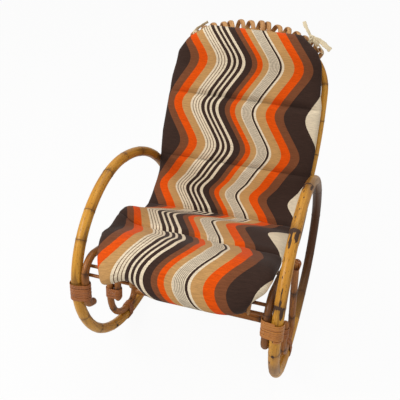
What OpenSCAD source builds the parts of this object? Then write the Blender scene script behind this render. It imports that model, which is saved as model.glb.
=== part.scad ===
// Rattan rocking chair with two bent side hoops, a bent seat and back frame,
// a wound top rim, cane bindings and a channelled cushion tied on at the top.
// Millimetres. X to the sitter's left as seen from the front, Y to the back, Z up.
// The origin is on the floor, midway between the points where the runners touch.

/* [Hoops] */
// Diameter of the thick poles bent into the side hoops
hoop_pole = 32; // [28:1:36]
// Distance between the centre planes of the two hoops
hoop_spacing = 580; // [540:5:640]
// Radius of the runner, along the pole's centre
runner_r = 690; // [640:10:760]
// Radius of the lower rear bend
rear_low_r = 176; // [160:2:190]
// Radius of the upper rear bend
rear_high_r = 230; // [215:1:245]
// Radius of the arm's highest bend
arm_top_r = 311; // [295:1:330]
// Radius of the bend at the front of the arm
arm_front_r = 254; // [240:1:270]

/* [Seat and back frame] */
// Diameter of the poles of the seat rails, the back arch and the supports
rail_pole = 22.5; // [20:0.5:25]
// Radius of the curl at the front end of each seat rail
curl_r = 34; // [30:1:40]
// Length of the rail's rise beside the front of the hoop
riser_len = 70; // [64:1:76]
// Radius of the bend from the rise into the seat
front_bend_r = 50; // [44:1:58]
// Fall of the seat towards the back, in degrees
seat_fall = 20; // [17:1:22]
// Straight length of each seat rail
seat_len = 370; // [356:2:384]
// Radius of the bend between seat and back
crease_r = 170; // [150:5:180]
// Lean of the back from the vertical, in degrees
back_rake = 27; // [24:1:30]
// Height of the back arch above its feet, along the back
arch_height = 480; // [460:5:500]
// Radius of the arch's two upper corners
arch_corner_r = 165; // [150:5:180]
// Outward flare of the arch's legs at their feet, in degrees
arch_flare = 4; // [2:0.5:5]

/* [Supports and bars] */
// Radius of the front bend of each U-shaped support
u_front_r = 142; // [132:2:152]
// Radius of the rear bend of each U-shaped support
u_rear_r = 32; // [30:1:36]
// Straight length of the support's front leg
u_leg = 50; // [44:1:60]
// Diameter of the low cross stretcher between the supports
stretcher_pole = 26; // [22:1:30]
// Diameter of the cross bars under the seat and behind the back
bar_d = 14; // [12:0.5:16]
// Distance of the rear seat bar behind the supports' rear legs
rear_bar_gap = 103; // [90:1:115]
// Diameter of the thin rods
rod_d = 10; // [8:0.5:12]
// Number of lengthwise rods
rod_count = 6; // [6:1:6]
// Distance between neighbouring lengthwise rods
rod_pitch = 84; // [76:1:88]

/* [Wound rim] */
// Diameter of the cane wound round the arch
coil_cane = 8.5; // [7:0.5:9.5]
// Mean radius of the winding
coil_r = 24; // [21:0.5:25]
// Number of turns
coil_turns = 15; // [12:1:16]

/* [Bindings] */
// Width of the split cane of the bindings
strand_w = 6.2; // [5:0.1:6.3]
// Thickness of the split cane
strand_t = 2.6; // [2:0.1:3]
// Distance from one turn of a binding to the next
strand_pitch = 7.2; // [7.2:0.1:8]

/* [Cushion] */
// Width of the cushion
cushion_w = 500; // [480:2:504]
// Thickness of the seat half
seat_thick = 60; // [55:1:68]
// Thickness of the back half
back_thick = 66; // [55:1:70]
// Sideways place of the cushion, which lies a little to one side
cushion_shift = -6; // [-10:1:0]

// How far the cushion reaches round the front bend from the seat, in degrees
front_wrap = 97; // [90:1:104]
// Distance of the seat's channel from the crease
seat_row = 233; // [210:1:250]
// Distance of the crease's own channel past the start of the crease
crease_row = 82; // [60:1:100]
// Height of the back's lower channel above the arch's feet
low_row = 27; // [20:1:50]
// Height of the back's upper channel above the arch's feet
top_row = 250; // [230:5:280]

/* [Ties] */
// Width of the cotton tapes
tape_w = 17; // [12:1:20]
// Thickness of the tapes
tape_t = 1.6; // [1.2:0.1:2]

/* [Hidden] */
$fn = 48;
// Gap between pieces that touch
gap = 0.3;
// How far the lengths of a pole lap, and by how much every second one is thinner
lap = 0.5;
thin = 0.1;
cane_honey = [0.80, 0.56, 0.24];
cane_brown = [0.56, 0.34, 0.16];
cane_pale = [0.72, 0.50, 0.27];
cloth_tan = [0.74, 0.56, 0.36];
tape_beige = [0.85, 0.79, 0.66];

// Bends of a planar pole as [turn in degrees, radius], or [0, length] for a straight run.
// A state is [y, z, heading]; the heading is measured from +Y towards +Z.
function advance(p, m) = m[0] == 0
  ? [p[0] + m[1] * cos(p[2]), p[1] + m[1] * sin(p[2]), p[2]]
  : let (k = sign(m[0]) * m[1], h = p[2] + m[0])
    [p[0] + k * (sin(h) - sin(p[2])), p[1] - k * (cos(h) - cos(p[2])), h];
function state(p, moves, n, i = 0) = i >= n ? p : state(advance(p, moves[i]), moves, n, i + 1);
function move_len(m) = m[0] == 0 ? m[1] : abs(m[0]) * m[1] * PI / 180;
// State at a distance s along the pole
function along(p, moves, s, i = 0) =
  i >= len(moves) - 1 || s <= move_len(moves[i])
  ? advance(p, moves[i][0] == 0 ? [0, s] : [sign(moves[i][0]) * s / moves[i][1] * 180 / PI, moves[i][1]])
  : along(advance(p, moves[i]), moves, s - move_len(moves[i]), i + 1);

// One side hoop, from its lowest point backwards, round and home again.
// Six radii are chosen; the long arm slope and the front close the loop.
hoop_turns = [15, 52, 49, 51, 53, 63, 62, 15];
hoop_given = [runner_r, rear_low_r, rear_high_r, 0, arm_top_r, arm_front_r, 0, runner_r];
hoop_head = [for (i = 0, h = 0; i <= 8; h = h + (i < 8 ? hoop_turns[i] : 0), i = i + 1) h];
function reach_y(i) = sin(hoop_head[i + 1]) - sin(hoop_head[i]);
function reach_z(i) = cos(hoop_head[i]) - cos(hoop_head[i + 1]);
function total(v, i = 0) = i == len(v) ? 0 : v[i] + total(v, i + 1);
sum_y = total([for (i = [0:7]) hoop_given[i] * reach_y(i)]);
sum_z = total([for (i = [0:7]) hoop_given[i] * reach_z(i)]);
hoop_det = reach_y(3) * reach_z(6) - reach_y(6) * reach_z(3);
arm_slope_r = (reach_y(6) * sum_z - reach_z(6) * sum_y) / hoop_det;
front_r = (reach_z(3) * sum_y - reach_y(3) * sum_z) / hoop_det;
hoop_r = [runner_r, rear_low_r, rear_high_r, arm_slope_r, arm_top_r, arm_front_r, front_r, runner_r];
hoop_moves = [for (i = [0:7]) [hoop_turns[i], hoop_r[i]]];
hoop_start = [0, hoop_pole / 2, 0];
// Centre of the bend number i of the hoop, as [y, z]
function hoop_centre(i) = let (s = state(hoop_start, hoop_moves, i))
  [s[0] - hoop_r[i] * sin(s[2]), s[1] + hoop_r[i] * cos(s[2])];
front_y = hoop_centre(5)[0] - arm_front_r;
front_z = hoop_centre(5)[1];

// Planes of the poles: the hoops and supports share one, the rails lie inside it
hoop_x = hoop_spacing / 2;
touch = (hoop_pole + rail_pole) / 2 + gap;
rail_x = hoop_x - touch;

// Seat rail: curl, rise beside the hoop, front bend, seat, crease and foot of the back
rail_moves = [[0, 24], [-68, curl_r], [0, riser_len], [-84 - seat_fall, front_bend_r],
  [0, seat_len], [90 + seat_fall - back_rake, crease_r]];
rail_start = [front_y + 40, front_z - 44, 152];
front_bend = state(rail_start, rail_moves, 3);
bend_c = [front_bend[0] + front_bend_r * sin(front_bend[2]), front_bend[1] - front_bend_r * cos(front_bend[2])];
seat_p = state(rail_start, rail_moves, 4);
crease_p = state(rail_start, rail_moves, 5);
crease_c = [crease_p[0] - crease_r * sin(crease_p[2]), crease_p[1] + crease_r * cos(crease_p[2])];
back_p = state(rail_start, rail_moves, 6);
back_h = back_p[2];
// The back crosses the hoop's arm slope at the foot of the arch
slope_c = hoop_centre(3);
cross_b = (back_p[0] - slope_c[0]) * cos(back_h) + (back_p[1] - slope_c[1]) * sin(back_h);
cross_q = pow(back_p[0] - slope_c[0], 2) + pow(back_p[1] - slope_c[1], 2) - pow(arm_slope_r, 2);
foot_len = -cross_b + sqrt(cross_b * cross_b - cross_q);
foot_p = [back_p[0] + foot_len * cos(back_h), back_p[1] + foot_len * sin(back_h), back_h];

// Back arch in its own plane: leg, corner, half of the crown
crown_half = 18;
crown_r = (rail_x - arch_corner_r * (cos(arch_flare) - sin(crown_half))) / sin(crown_half);
leg_run = arch_height - arch_corner_r * (cos(crown_half) - sin(arch_flare)) - crown_r * (1 - cos(crown_half));
leg_r = leg_run / (2 * sin(arch_flare));
arch_moves = [[-2 * arch_flare, leg_r], [arch_flare - 90 + crown_half, arch_corner_r],
  [-2 * crown_half, crown_r], [arch_flare - 90 + crown_half, arch_corner_r], [-2 * arch_flare, leg_r]];
arch_start = [-rail_x, 0, 90 + arch_flare];
// Half width of the arch's centre line at the height v above the feet
function arch_half(v) = v <= leg_run
  ? rail_x - leg_r * cos(arch_flare) + sqrt(leg_r * leg_r - pow(v - leg_run / 2, 2))
  : rail_x - arch_corner_r * cos(arch_flare)
    + sqrt(pow(arch_corner_r, 2) - pow(v - leg_run + arch_corner_r * sin(arch_flare), 2));

// Point on the seat at the distance s from the front bend, raised by off
function seat_at(s, off) = [seat_p[0] + s * cos(seat_fall) + off * sin(seat_fall),
  seat_p[1] - s * sin(seat_fall) + off * cos(seat_fall)];
// Point on the back at the height v above the feet of the arch, moved forward by off
function back_at(v, off) = [foot_p[0] + v * cos(back_h) - off * sin(back_h),
  foot_p[1] + v * sin(back_h) + off * cos(back_h)];
// Point in the crease, a degrees along its bend, moved inward by off
function crease_at(a, off) = let (h = a - seat_fall)
  [crease_c[0] + (crease_r - off) * sin(h), crease_c[1] - (crease_r - off) * cos(h)];

// Bars cross on the far side of the rails, and the rods lie on the bars
bar_off = -(rail_pole + bar_d) / 2 - gap;
rod_off = bar_off + (bar_d + rod_d) / 2 + gap;
front_rod_off = (rail_pole + rod_d) / 2 + gap;
crease_mid = (90 + seat_fall - back_rake) / 2;
bar_half = rail_x + 8;

// Supports: down the front leg, along the runner's inside, up the rear leg to the rail
u_touch = (hoop_pole + rail_pole) / 2 + gap;
u_low = [-(runner_r - u_touch) * sin(15), hoop_start[1] + runner_r - (runner_r - u_touch) * cos(15)];
u_lean = 8;
u_front = [u_low[0] - u_front_r * (sin(345) - sin(270 - u_lean)),
  u_low[1] + u_front_r * (cos(345) - cos(270 - u_lean))];
u_start = [u_front[0] + u_leg * sin(u_lean), u_front[1] + u_leg * cos(u_lean), 270 - u_lean];
u_rear_h = 103;
u_follow = 3;
u_turn = state([u_low[0], u_low[1], -15], [[u_follow, runner_r - u_touch]], 1);
u_rise = state(u_turn, [[15 - u_follow + u_rear_h, u_rear_r]], 1);
// Where the rear leg's line meets the seat rail's line
u_meet = ((seat_p[1] - u_rise[1]) * cos(seat_fall) + (seat_p[0] - u_rise[0]) * sin(seat_fall))
  / (sin(u_rear_h) * cos(seat_fall) + cos(u_rear_h) * sin(seat_fall));
u_over = 16;
u_moves = [[0, u_leg], [75 + u_lean, u_front_r], [u_follow, runner_r - u_touch],
  [15 - u_follow + u_rear_h, u_rear_r], [0, u_meet + u_over]];
// Front post beside the support's front leg, up to the underside of the rail
post_drop = 17;
post_low = [u_front[0] - post_drop * sin(u_lean), u_front[1] - post_drop * cos(u_lean)];
post_h = 90 - u_lean;
post_len = ((seat_p[1] - post_low[1]) * cos(seat_fall) + (seat_p[0] - post_low[0]) * sin(seat_fall))
  / (sin(post_h) * cos(seat_fall) + cos(post_h) * sin(seat_fall));

// Winding
coil_shift = coil_r - coil_cane / 2 - rail_pole / 2 - gap;
coil_from = move_len(arch_moves[0]) + arch_corner_r * 40 * PI / 180;
coil_to = 2 * move_len(arch_moves[0]) + 2 * move_len(arch_moves[1]) + move_len(arch_moves[2]) - coil_from;
coil_rings = 20;

// A planar pole in the plane at x
module pole(x, p, moves, d, closed = false) {
  translate([x, 0, 0]) multmatrix([[0, 0, 1, 0], [1, 0, 0, 0], [0, 1, 0, 0], [0, 0, 0, 1]])
    flat_pole(p, moves, d, closed);
}

// The same pole in the plane of X and Y. Every second length is a hair thinner
// and laps into its neighbours, so that the lengths join into one solid.
module flat_pole(p, moves, d, closed = false) {
  for (i = [0:len(moves) - 1]) {
    s = state(p, moves, i);
    m = moves[i];
    fine = i % 2 == 1;
    w = fine ? d - thin : d;
    l0 = fine && i > 0 ? lap : 0;
    l1 = fine && (closed || i < len(moves) - 1) ? lap : 0;
    if (m[0] == 0)
      translate([s[0] - l0 * cos(s[2]), s[1] - l0 * sin(s[2]), 0]) rotate([0, 90, s[2]])
        cylinder(h = m[1] + l0 + l1, d = w);
    else
      translate([s[0] - sign(m[0]) * m[1] * sin(s[2]), s[1] + sign(m[0]) * m[1] * cos(s[2]), 0])
        rotate([0, 0, m[0] > 0 ? s[2] - 90 - l0 / m[1] * 180 / PI : s[2] + 90 + m[0] - l1 / m[1] * 180 / PI])
          rotate_extrude(angle = abs(m[0]) + (l0 + l1) / m[1] * 180 / PI, $fn = 72)
            translate([m[1], 0]) circle(d = w);
  }
}

// Puts a shape drawn in the arch's plane, X across and Y up, into place
module in_back_plane(off = 0) {
  at = back_at(0, off);
  translate([0, at[0], at[1]]) rotate([back_h, 0, 0]) children();
}

// A rounded pole end
module pole_end(x, p, d) {
  translate([x, p[0], p[1]]) sphere(d = d - 2 * thin);
}

// A straight bar across the chair, through the point at, with softened ends
module cross_bar(at, half, d) {
  translate([-half, at[0], at[1]]) rotate([0, 90, 0]) {
    translate([0, 0, 1]) cylinder(h = 2 * half - 2, d = d);
    cylinder(h = 1, d1 = d - 2, d2 = d);
    translate([0, 0, 2 * half - 1]) cylinder(h = 1, d1 = d, d2 = d - 2);
  }
}

module hoop(x) {
  color(cane_honey) pole(x, hoop_start, hoop_moves, hoop_pole, closed = true);
}
module hoop_left() { hoop(-hoop_x); }
module hoop_right() { hoop(hoop_x); }

module u_support(x) {
  color(cane_brown) {
    pole(x, u_start, u_moves, rail_pole);
    pole_end(x, state(u_start, u_moves, 5), rail_pole);
  }
}
module u_support_left() { u_support(-hoop_x); }
module u_support_right() { u_support(hoop_x); }

module front_post(x) {
  color(cane_brown) difference() {
    pole(x, [post_low[0], post_low[1], post_h], [[0, post_len]], rail_pole);
    pole(x, front_bend, [rail_moves[3], rail_moves[4]], rail_pole + 2 * gap);
  }
}
module front_post_left() { front_post(-rail_x); }
module front_post_right() { front_post(rail_x); }

module seat_rail(x) {
  color(cane_brown) {
    pole(x, rail_start, concat(rail_moves, [[0, foot_len - gap / 2]]), rail_pole);
    pole_end(x, rail_start, rail_pole);
  }
}
module seat_rail_left() { seat_rail(-rail_x); }
module seat_rail_right() { seat_rail(rail_x); }

module back_arch() {
  color(cane_pale) difference() {
    in_back_plane() flat_pole(arch_start, arch_moves, rail_pole);
    // The feet are cut square to the rails that they stand on
    in_back_plane() translate([-400, -30 + gap / 2, -40]) cube([800, 30, 80]);
  }
}

// Point and directions on the arch in space: centre, tangent and outward normal
function arch_xyz(u, v, w) = let (b = back_at(v, w)) [u, b[0], b[1]];
function coil_point(t) = let (
    s = coil_from + (coil_to - coil_from) * t,
    p = along(arch_start, arch_moves, s),
    a = 360 * coil_turns * t + 90,
    out = coil_shift + coil_r * cos(a))
  arch_xyz(p[0] - out * sin(p[2]), p[1] + out * cos(p[2]), coil_r * sin(a));
function coil_radial(t) = let (
    s = coil_from + (coil_to - coil_from) * t,
    h = along(arch_start, arch_moves, s)[2],
    a = 360 * coil_turns * t + 90)
  arch_xyz(-cos(a) * sin(h), cos(a) * cos(h), sin(a)) - arch_xyz(0, 0, 0);

function unit(v) = v / norm(v);
// Rings of a tube: centres c, radial directions r and half sizes a (radial) and b (side)
function tube_rings(c, r, a, b, sides) = [for (i = [0:len(c) - 1])
  let (t = unit(c[min(i + 1, len(c) - 1)] - c[max(i - 1, 0)]), n = unit(r[i] - (r[i] * t) * t), m = cross(t, n))
  each [for (k = [0:sides - 1]) let (q = 360 * (k + 0.5) / sides) c[i] + a * cos(q) * n + b * sin(q) * m]];
function tube_faces(n, sides) = concat(
  [[for (k = [0:sides - 1]) k]],
  [[for (k = [sides - 1:-1:0]) (n - 1) * sides + k]],
  [for (i = [0:n - 2]) for (k = [0:sides - 1]) let (l = (k + 1) % sides)
    each [[i * sides + k, (i + 1) * sides + k, (i + 1) * sides + l],
      [i * sides + k, (i + 1) * sides + l, i * sides + l]]]);
module tube(c, r, a, b, sides) {
  polyhedron(tube_rings(c, r, a, b, sides), tube_faces(len(c), sides), convexity = 10);
}
// Least distance between points of a tube that are at least skip places apart
function least_gap(c, skip) = min([for (i = [0:len(c) - 1]) for (j = [i + skip:len(c) - 1]) norm(c[i] - c[j])]);

coil_n = coil_turns * coil_rings;
coil_c = [for (i = [0:coil_n]) coil_point(i / coil_n)];
module rim_coil() {
  echo(winding_gap = least_gap(coil_c, coil_rings - 4) - coil_cane);
  color(cane_pale) tube(coil_c, [for (i = [0:coil_n]) coil_radial(i / coil_n)],
    coil_cane / 2, coil_cane / 2, 6);
}

// Thin rods across the front, inside the bend of the rails
module front_rod(a) {
  r = front_bend_r - front_rod_off;
  color(cane_brown) cross_bar([bend_c[0] + r * cos(a), bend_c[1] + r * sin(a)], bar_half, rod_d);
}
module front_rod_lower() { front_rod(168); }
module front_rod_upper() { front_rod(122); }

// Low stretcher between the rear legs of the supports
stretcher_at = state(u_turn, [[90, u_rear_r]], 1);
module low_stretcher() {
  half = hoop_x + 4;
  color(cane_brown) difference() {
    translate([-half, stretcher_at[0], stretcher_at[1]]) rotate([0, 90, 0])
      cylinder(h = 2 * half, d = stretcher_pole);
    for (x = [-hoop_x, hoop_x])
      pole(x, u_start, u_moves, rail_pole + 2 * gap);
    for (x = [-1, 1]) translate([x * (hoop_x + 40) - 40, stretcher_at[0] - 40, stretcher_at[1] - 40])
      cube([80, 80, 80]);
  }
}

module seat_bar_front() { color(cane_brown) cross_bar(seat_at(seat_len / 2, bar_off), bar_half, bar_d); }
// The rear bar lies behind the lashing of the supports' rear legs
leg_at = (u_rise[0] + u_meet * cos(u_rear_h) - seat_p[0]) / cos(seat_fall);
module seat_bar_rear() { color(cane_brown) cross_bar(seat_at(leg_at + rear_bar_gap, bar_off), bar_half, bar_d); }
module crease_bar() { color(cane_brown) cross_bar(crease_at(crease_mid, bar_off), bar_half, bar_d); }
module back_bar(v) { color(cane_brown) cross_bar(back_at(v, bar_off), arch_half(v) + 8, bar_d); }
module back_bar_low() { back_bar(90); }
module back_bar_mid() { back_bar(250); }
top_bar_v = arch_height - 92;
module back_bar_top() { back_bar(top_bar_v); }

// Lengthwise rods, in two lengths that meet on the bar in the crease. The seat's
// rods start below the lower front rod and bend over both front rods.
function rod_x(i) = (i - (rod_count + 1) / 2) * rod_pitch;
// A back rod ends below the crown, or where the arch's corner closes in on it
function rod_top(x) = min(arch_height - 62, leg_run - arch_corner_r * sin(arch_flare)
  + sqrt(pow(arch_corner_r, 2) - pow(x + rod_d / 2 + rail_pole / 2 + 6 - rail_x + arch_corner_r * cos(arch_flare), 2)));
module seat_rod(i) {
  r = front_bend_r + rod_off;
  color(cane_pale) pole(rod_x(i), [bend_c[0] + r * cos(174), bend_c[1] + r * sin(174), 84],
    [[-84 - seat_fall, r], [0, seat_len], [crease_mid - 0.2, crease_r - rod_off]], rod_d);
}
module back_rod(i) {
  from = crease_at(crease_mid + 0.2, rod_off);
  color(cane_pale) pole(rod_x(i), [from[0], from[1], crease_mid + 0.2 - seat_fall],
    [[crease_mid - 0.2, crease_r - rod_off], [0, foot_len + rod_top(abs(rod_x(i)))]], rod_d);
}
module seat_rod_1() { seat_rod(1); }
module seat_rod_2() { seat_rod(2); }
module seat_rod_3() { seat_rod(3); }
module seat_rod_4() { seat_rod(4); }
module seat_rod_5() { seat_rod(5); }
module seat_rod_6() { seat_rod(6); }
module back_rod_1() { back_rod(1); }
module back_rod_2() { back_rod(2); }
module back_rod_3() { back_rod(3); }
module back_rod_4() { back_rod(4); }
module back_rod_5() { back_rod(5); }
module back_rod_6() { back_rod(6); }

// A cane binding of two poles whose centres are span apart, wound as one strand.
// Both are seen end on: the first, of radius ra, at the origin, the second, rb, at +X.
function belt(ra, rb, span, k) = let (w = asin((ra - rb) / span))
  k < 9 ? let (a = 90 - w + (180 + 2 * w) * k / 8) [ra * cos(a), ra * sin(a), a]
  : let (a = -90 + w + (180 - 2 * w) * (k - 9) / 6) [span + rb * cos(a), rb * sin(a), a];
module wound_binding(ra, rb, span, turns) {
  lift = gap + 0.5 + strand_t / 2;
  n = turns * 16;
  c = [for (i = [0:n]) let (b = belt(ra + lift, rb + lift, span, i % 16))
    [b[0], b[1], (i / 16 - turns / 2) * strand_pitch]];
  r = [for (i = [0:n]) let (b = belt(ra + lift, rb + lift, span, i % 16)) [cos(b[2]), sin(b[2]), 0]];
  echo(binding_gap = strand_pitch - strand_w);
  tube(c, r, strand_t / 2 / cos(30), strand_w / 2, 6);
}
front_bind = along(rail_start, rail_moves, 24 + 68 * curl_r * PI / 180 + 26);
front_bind_y = (front_bind[0] + front_y + arm_front_r - sqrt(pow(arm_front_r, 2) - pow(front_bind[1] - front_z, 2))) / 2;
module front_binding(side) {
  color(cane_honey) translate([side * hoop_x, front_bind_y, front_bind[1]])
    rotate([front_bind[2] - 91, 0, 0]) mirror([side > 0 ? 1 : 0, 0, 0])
      wound_binding(hoop_pole / 2 + 1.4, rail_pole / 2 + 1.4, touch, 5);
}
module front_binding_left() { front_binding(-1); }
module front_binding_right() { front_binding(1); }

// A shorter binding as a ribbed sleeve round two poles that lie side by side. The
// straight flanks start a hair inside the circles, so that they meet at a clear angle.
module outline(ra, rb, span) {
  w = asin((ra - rb) / span);
  k = 0.998;
  circle(r = ra);
  translate([span, 0]) circle(r = rb);
  polygon([[k * ra * sin(w), k * ra * cos(w)], [span + k * rb * sin(w), k * rb * cos(w)],
    [span + k * rb * sin(w), -k * rb * cos(w)], [k * ra * sin(w), -k * ra * cos(w)]]);
}
module ribbed_binding(ra, rb, span, turns, ease) {
  inner = gap + ease;
  h = turns * strand_pitch;
  difference() {
    union() {
      translate([0, 0, -h / 2 + 0.6]) linear_extrude(height = h - 1.2)
        outline(ra + inner + strand_t * 0.55, rb + inner + strand_t * 0.55, span);
      for (i = [0:turns - 1])
        translate([0, 0, -h / 2 + i * strand_pitch + (strand_pitch - strand_w) / 2])
          linear_extrude(height = strand_w)
            outline(ra + inner + strand_t, rb + inner + strand_t, span);
    }
    translate([0, 0, -h]) linear_extrude(height = 2 * h) outline(ra + inner, rb + inner, span);
  }
}

// Support's front leg and front post
splice_at = [post_low[0] + 30 * cos(post_h), post_low[1] + 30 * sin(post_h)];
module splice_binding(side) {
  color(cane_brown) translate([side * hoop_x, splice_at[0], splice_at[1]])
    rotate([post_h - 90, 0, 0]) mirror([side > 0 ? 1 : 0, 0, 0])
      ribbed_binding(rail_pole / 2, rail_pole / 2, touch, 5, 0.4);
}
module splice_binding_left() { splice_binding(-1); }
module splice_binding_right() { splice_binding(1); }

// Support and runner, one above the other
module runner_binding(side) {
  at = 14.3;
  rest = [hoop_start[0] - runner_r * sin(at), hoop_start[1] + runner_r * (1 - cos(at))];
  color(cane_brown) translate([side * hoop_x, rest[0], rest[1]])
    rotate([-at, 0, 0]) rotate([-90, 0, 0]) rotate([0, 0, -90])
      ribbed_binding(hoop_pole / 2, rail_pole / 2, u_touch, 4, 0.4);
}
module runner_binding_left() { runner_binding(-1); }
module runner_binding_right() { runner_binding(1); }

// Seat rail and the rear leg of the support, which cross: lashed along their bisector
cross_h = (u_rear_h - seat_fall) / 2;
meet_p = [u_rise[0] + u_meet * cos(u_rear_h), u_rise[1] + u_meet * sin(u_rear_h)];
function widened(r, half_angle) = r / cos(half_angle) + strand_pitch * tan(half_angle);
module leg_binding(side) {
  open = (180 - seat_fall - u_rear_h) / 2;
  h = (u_rear_h + 180 - seat_fall) / 2;
  color(cane_brown) translate([side * hoop_x, meet_p[0], meet_p[1]])
    rotate([h - 90, 0, 0]) mirror([side > 0 ? 1 : 0, 0, 0])
      ribbed_binding(widened(rail_pole / 2, open), widened(rail_pole / 2, open), touch, 2, 0.5);
}
module leg_binding_left() { leg_binding(-1); }
module leg_binding_right() { leg_binding(1); }

// Joint between rail and arch, wound all along, and let in where the hoop passes
module back_binding(side) {
  turns = 7;
  h = turns * strand_pitch;
  inner = rail_pole / 2 + gap + 0.7;
  color(cane_brown) difference() {
    translate([side * rail_x, foot_p[0], foot_p[1]]) rotate([back_h - 90, 0, 0]) translate([0, 0, -12]) difference() {
      union() {
        translate([0, 0, -h / 2 + 0.6]) cylinder(h = h - 1.2, r = inner + strand_t * 0.55);
        for (i = [0:turns - 1])
          translate([0, 0, -h / 2 + i * strand_pitch + (strand_pitch - strand_w) / 2])
            cylinder(h = strand_w, r = inner + strand_t);
      }
      translate([0, 0, -h]) cylinder(h = 2 * h, r = inner);
    }
    pole(side * hoop_x, state(hoop_start, hoop_moves, 3), [hoop_moves[3]], hoop_pole + 2 * gap);
    pole(side * rail_x, crease_p, [rail_moves[5]], rail_pole + 2 * gap);
  }
}
module back_binding_left() { back_binding(-1); }
module back_binding_right() { back_binding(1); }

// Cushion: rings of points round a padded section, along a path in the plane of Y and Z.
// A station is [y, z, ny, nz, thickness]: a point on the underside and the way up from it.
function pw(v, e) = sign(v) * pow(abs(v), e);
function pad_ring(st, w, m) = [for (k = [0:m - 1])
  let (a = 360 * k / m, x = w / 2 * pw(cos(a), 0.42), h = st[4] / 2 * (1 + pw(sin(a), 0.85)))
  [x + cushion_shift, st[0] + st[2] * h, st[1] + st[3] * h]];
module pad(stations, w, m) {
  n = len(stations);
  pts = [for (i = [0:n - 1]) each pad_ring(stations[i], w * stations[i][5], m)];
  ends = [for (i = [0, n - 1]) let (s = stations[i])
    [cushion_shift, s[0] + s[2] * s[4] / 2, s[1] + s[3] * s[4] / 2]];
  faces = concat(
    [for (k = [0:m - 1]) [n * m, k, (k + 1) % m]],
    [for (k = [0:m - 1]) [n * m + 1, (n - 1) * m + (k + 1) % m, (n - 1) * m + k]],
    [for (i = [0:n - 2]) for (k = [0:m - 1]) let (l = (k + 1) % m)
      each [[i * m + k, (i + 1) * m + k, (i + 1) * m + l], [i * m + k, (i + 1) * m + l, i * m + l]]]);
  polyhedron(concat(pts, ends), faces, convexity = 6);
}
function dip(t, at, depth, w) = depth * exp(-pow((t - at) / w, 2));
function end_round(t, len, r) = let (d = min(t, len - t)) d >= r ? 1 : sqrt(max(0.02, 1 - pow(1 - d / r, 2)));
function ease(t) = let (q = max(0, min(1, t))) q * q * (3 - 2 * q);

// The cushion's underside: it starts low on the front bend, lies on the rods, turns in
// the crease, lies on the back's rods and passes in front of the wound rim at the top.
pad_off = rod_off + rod_d / 2 + 0.6;
rail_off = rail_pole / 2 + 2.5;
rim_off = coil_r + coil_cane / 2 + 1.5;
front_rest = front_bend_r + rail_off;
over_len = front_wrap * PI / 180 * front_rest;
crease_turn = 90 + seat_fall - back_rake;
crease_len = crease_turn * PI / 180 * (crease_r - pad_off);
to_seat = over_len;
to_crease = to_seat + seat_len;
to_back = to_crease + crease_len;
pad_len = to_back + foot_len + arch_height + 4;
function pad_path(t) =
  t < to_seat ? let (a = 90 - seat_fall + front_wrap - t / front_rest * 180 / PI)
    [bend_c[0] + front_rest * cos(a), bend_c[1] + front_rest * sin(a), cos(a), sin(a)]
  : t < to_crease ? let (s = t - to_seat, p = seat_at(s, rail_off + (pad_off - rail_off) * ease(s / 120)))
    [p[0], p[1], sin(seat_fall), cos(seat_fall)]
  : t < to_back ? let (a = (t - to_crease) / crease_len * crease_turn, p = crease_at(a, pad_off))
    [p[0], p[1], -sin(a - seat_fall), cos(a - seat_fall)]
  : let (v = t - to_back - foot_len,
      p = back_at(v, pad_off + (rim_off - pad_off) * ease((v - arch_height + 150) / 105)))
    [p[0], p[1], -sin(back_h), cos(back_h)];
// Channels stitched across the cushion, as [place along the path, depth, width]
channels = [[to_crease - seat_row, 0.30, 11], [to_crease + crease_row, 0.30, 12],
  [to_back + foot_len + low_row, 0.26, 11], [to_back + foot_len + top_row, 0.30, 11]];
function channel_dip(t) = total([for (c = channels) dip(t, c[0], c[1], c[2])]);
function pad_thick(t) = seat_thick - (seat_thick - back_thick) * ease((t - to_crease) / 200)
  - 14 * ease((90 - t) / 90) - 18 * exp(-pow((t - to_crease - 60) / 90, 2))
  - 16 * ease((t - pad_len + 150) / 150);
pad_n = 74;
stations = [for (i = [0:pad_n - 1]) let (t = 3 + (pad_len - 6) * i / (pad_n - 1), p = pad_path(t))
  [p[0], p[1], p[2], p[3], pad_thick(t) * end_round(t, pad_len, 26) * (1 - channel_dip(t)),
    (0.97 + 0.03 * end_round(t, pad_len, 40)) * (1 - 0.05 * channel_dip(t))
      * (1 - 0.34 * ease((t - pad_len + 100) / 100)) * (1 - 0.22 * ease((50 - t) / 50))]];
module cushion() {
  color(cloth_tan) pad(stations, cushion_w, 16);
}

// Tie: two loops of tape round the arch past the end of the winding, a knot and two tails
module tie(side) {
  s = coil_from - 16;
  p = along(arch_start, arch_moves, s);
  // The arch bends inside the band, so the band stands off it a little
  r = rail_pole / 2 + gap + 0.6;
  color(tape_beige) in_back_plane() mirror([side > 0 ? 1 : 0, 0, 0])
    translate([p[0], p[1], 0]) rotate([0, 0, p[2]]) rotate([0, 90, 0]) {
      translate([0, 0, -tape_w / 2]) difference() {
        cylinder(h = tape_w, r = r + tape_t);
        translate([0, 0, -1]) cylinder(h = tape_w + 2, r = r);
      }
      // Knot and tails, towards the front of the back
      rotate([0, 0, 180]) translate([r + tape_t + 3.5, 0, 0]) {
        sphere(d = 14);
        translate([-1, 30, -tape_w / 2]) rotate([0, 0, 180])
          tail(34, 58);
        translate([-1, -30, -tape_w / 2]) mirror([0, 1, 0]) rotate([0, 0, 180])
          tail(40, 66);
      }
    }
}
module tail(r, a) {
  rotate_extrude(angle = a, $fn = 96) translate([r, 0]) square([tape_t, tape_w]);
}
module tie_left() { tie(-1); }
module tie_right() { tie(1); }

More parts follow.
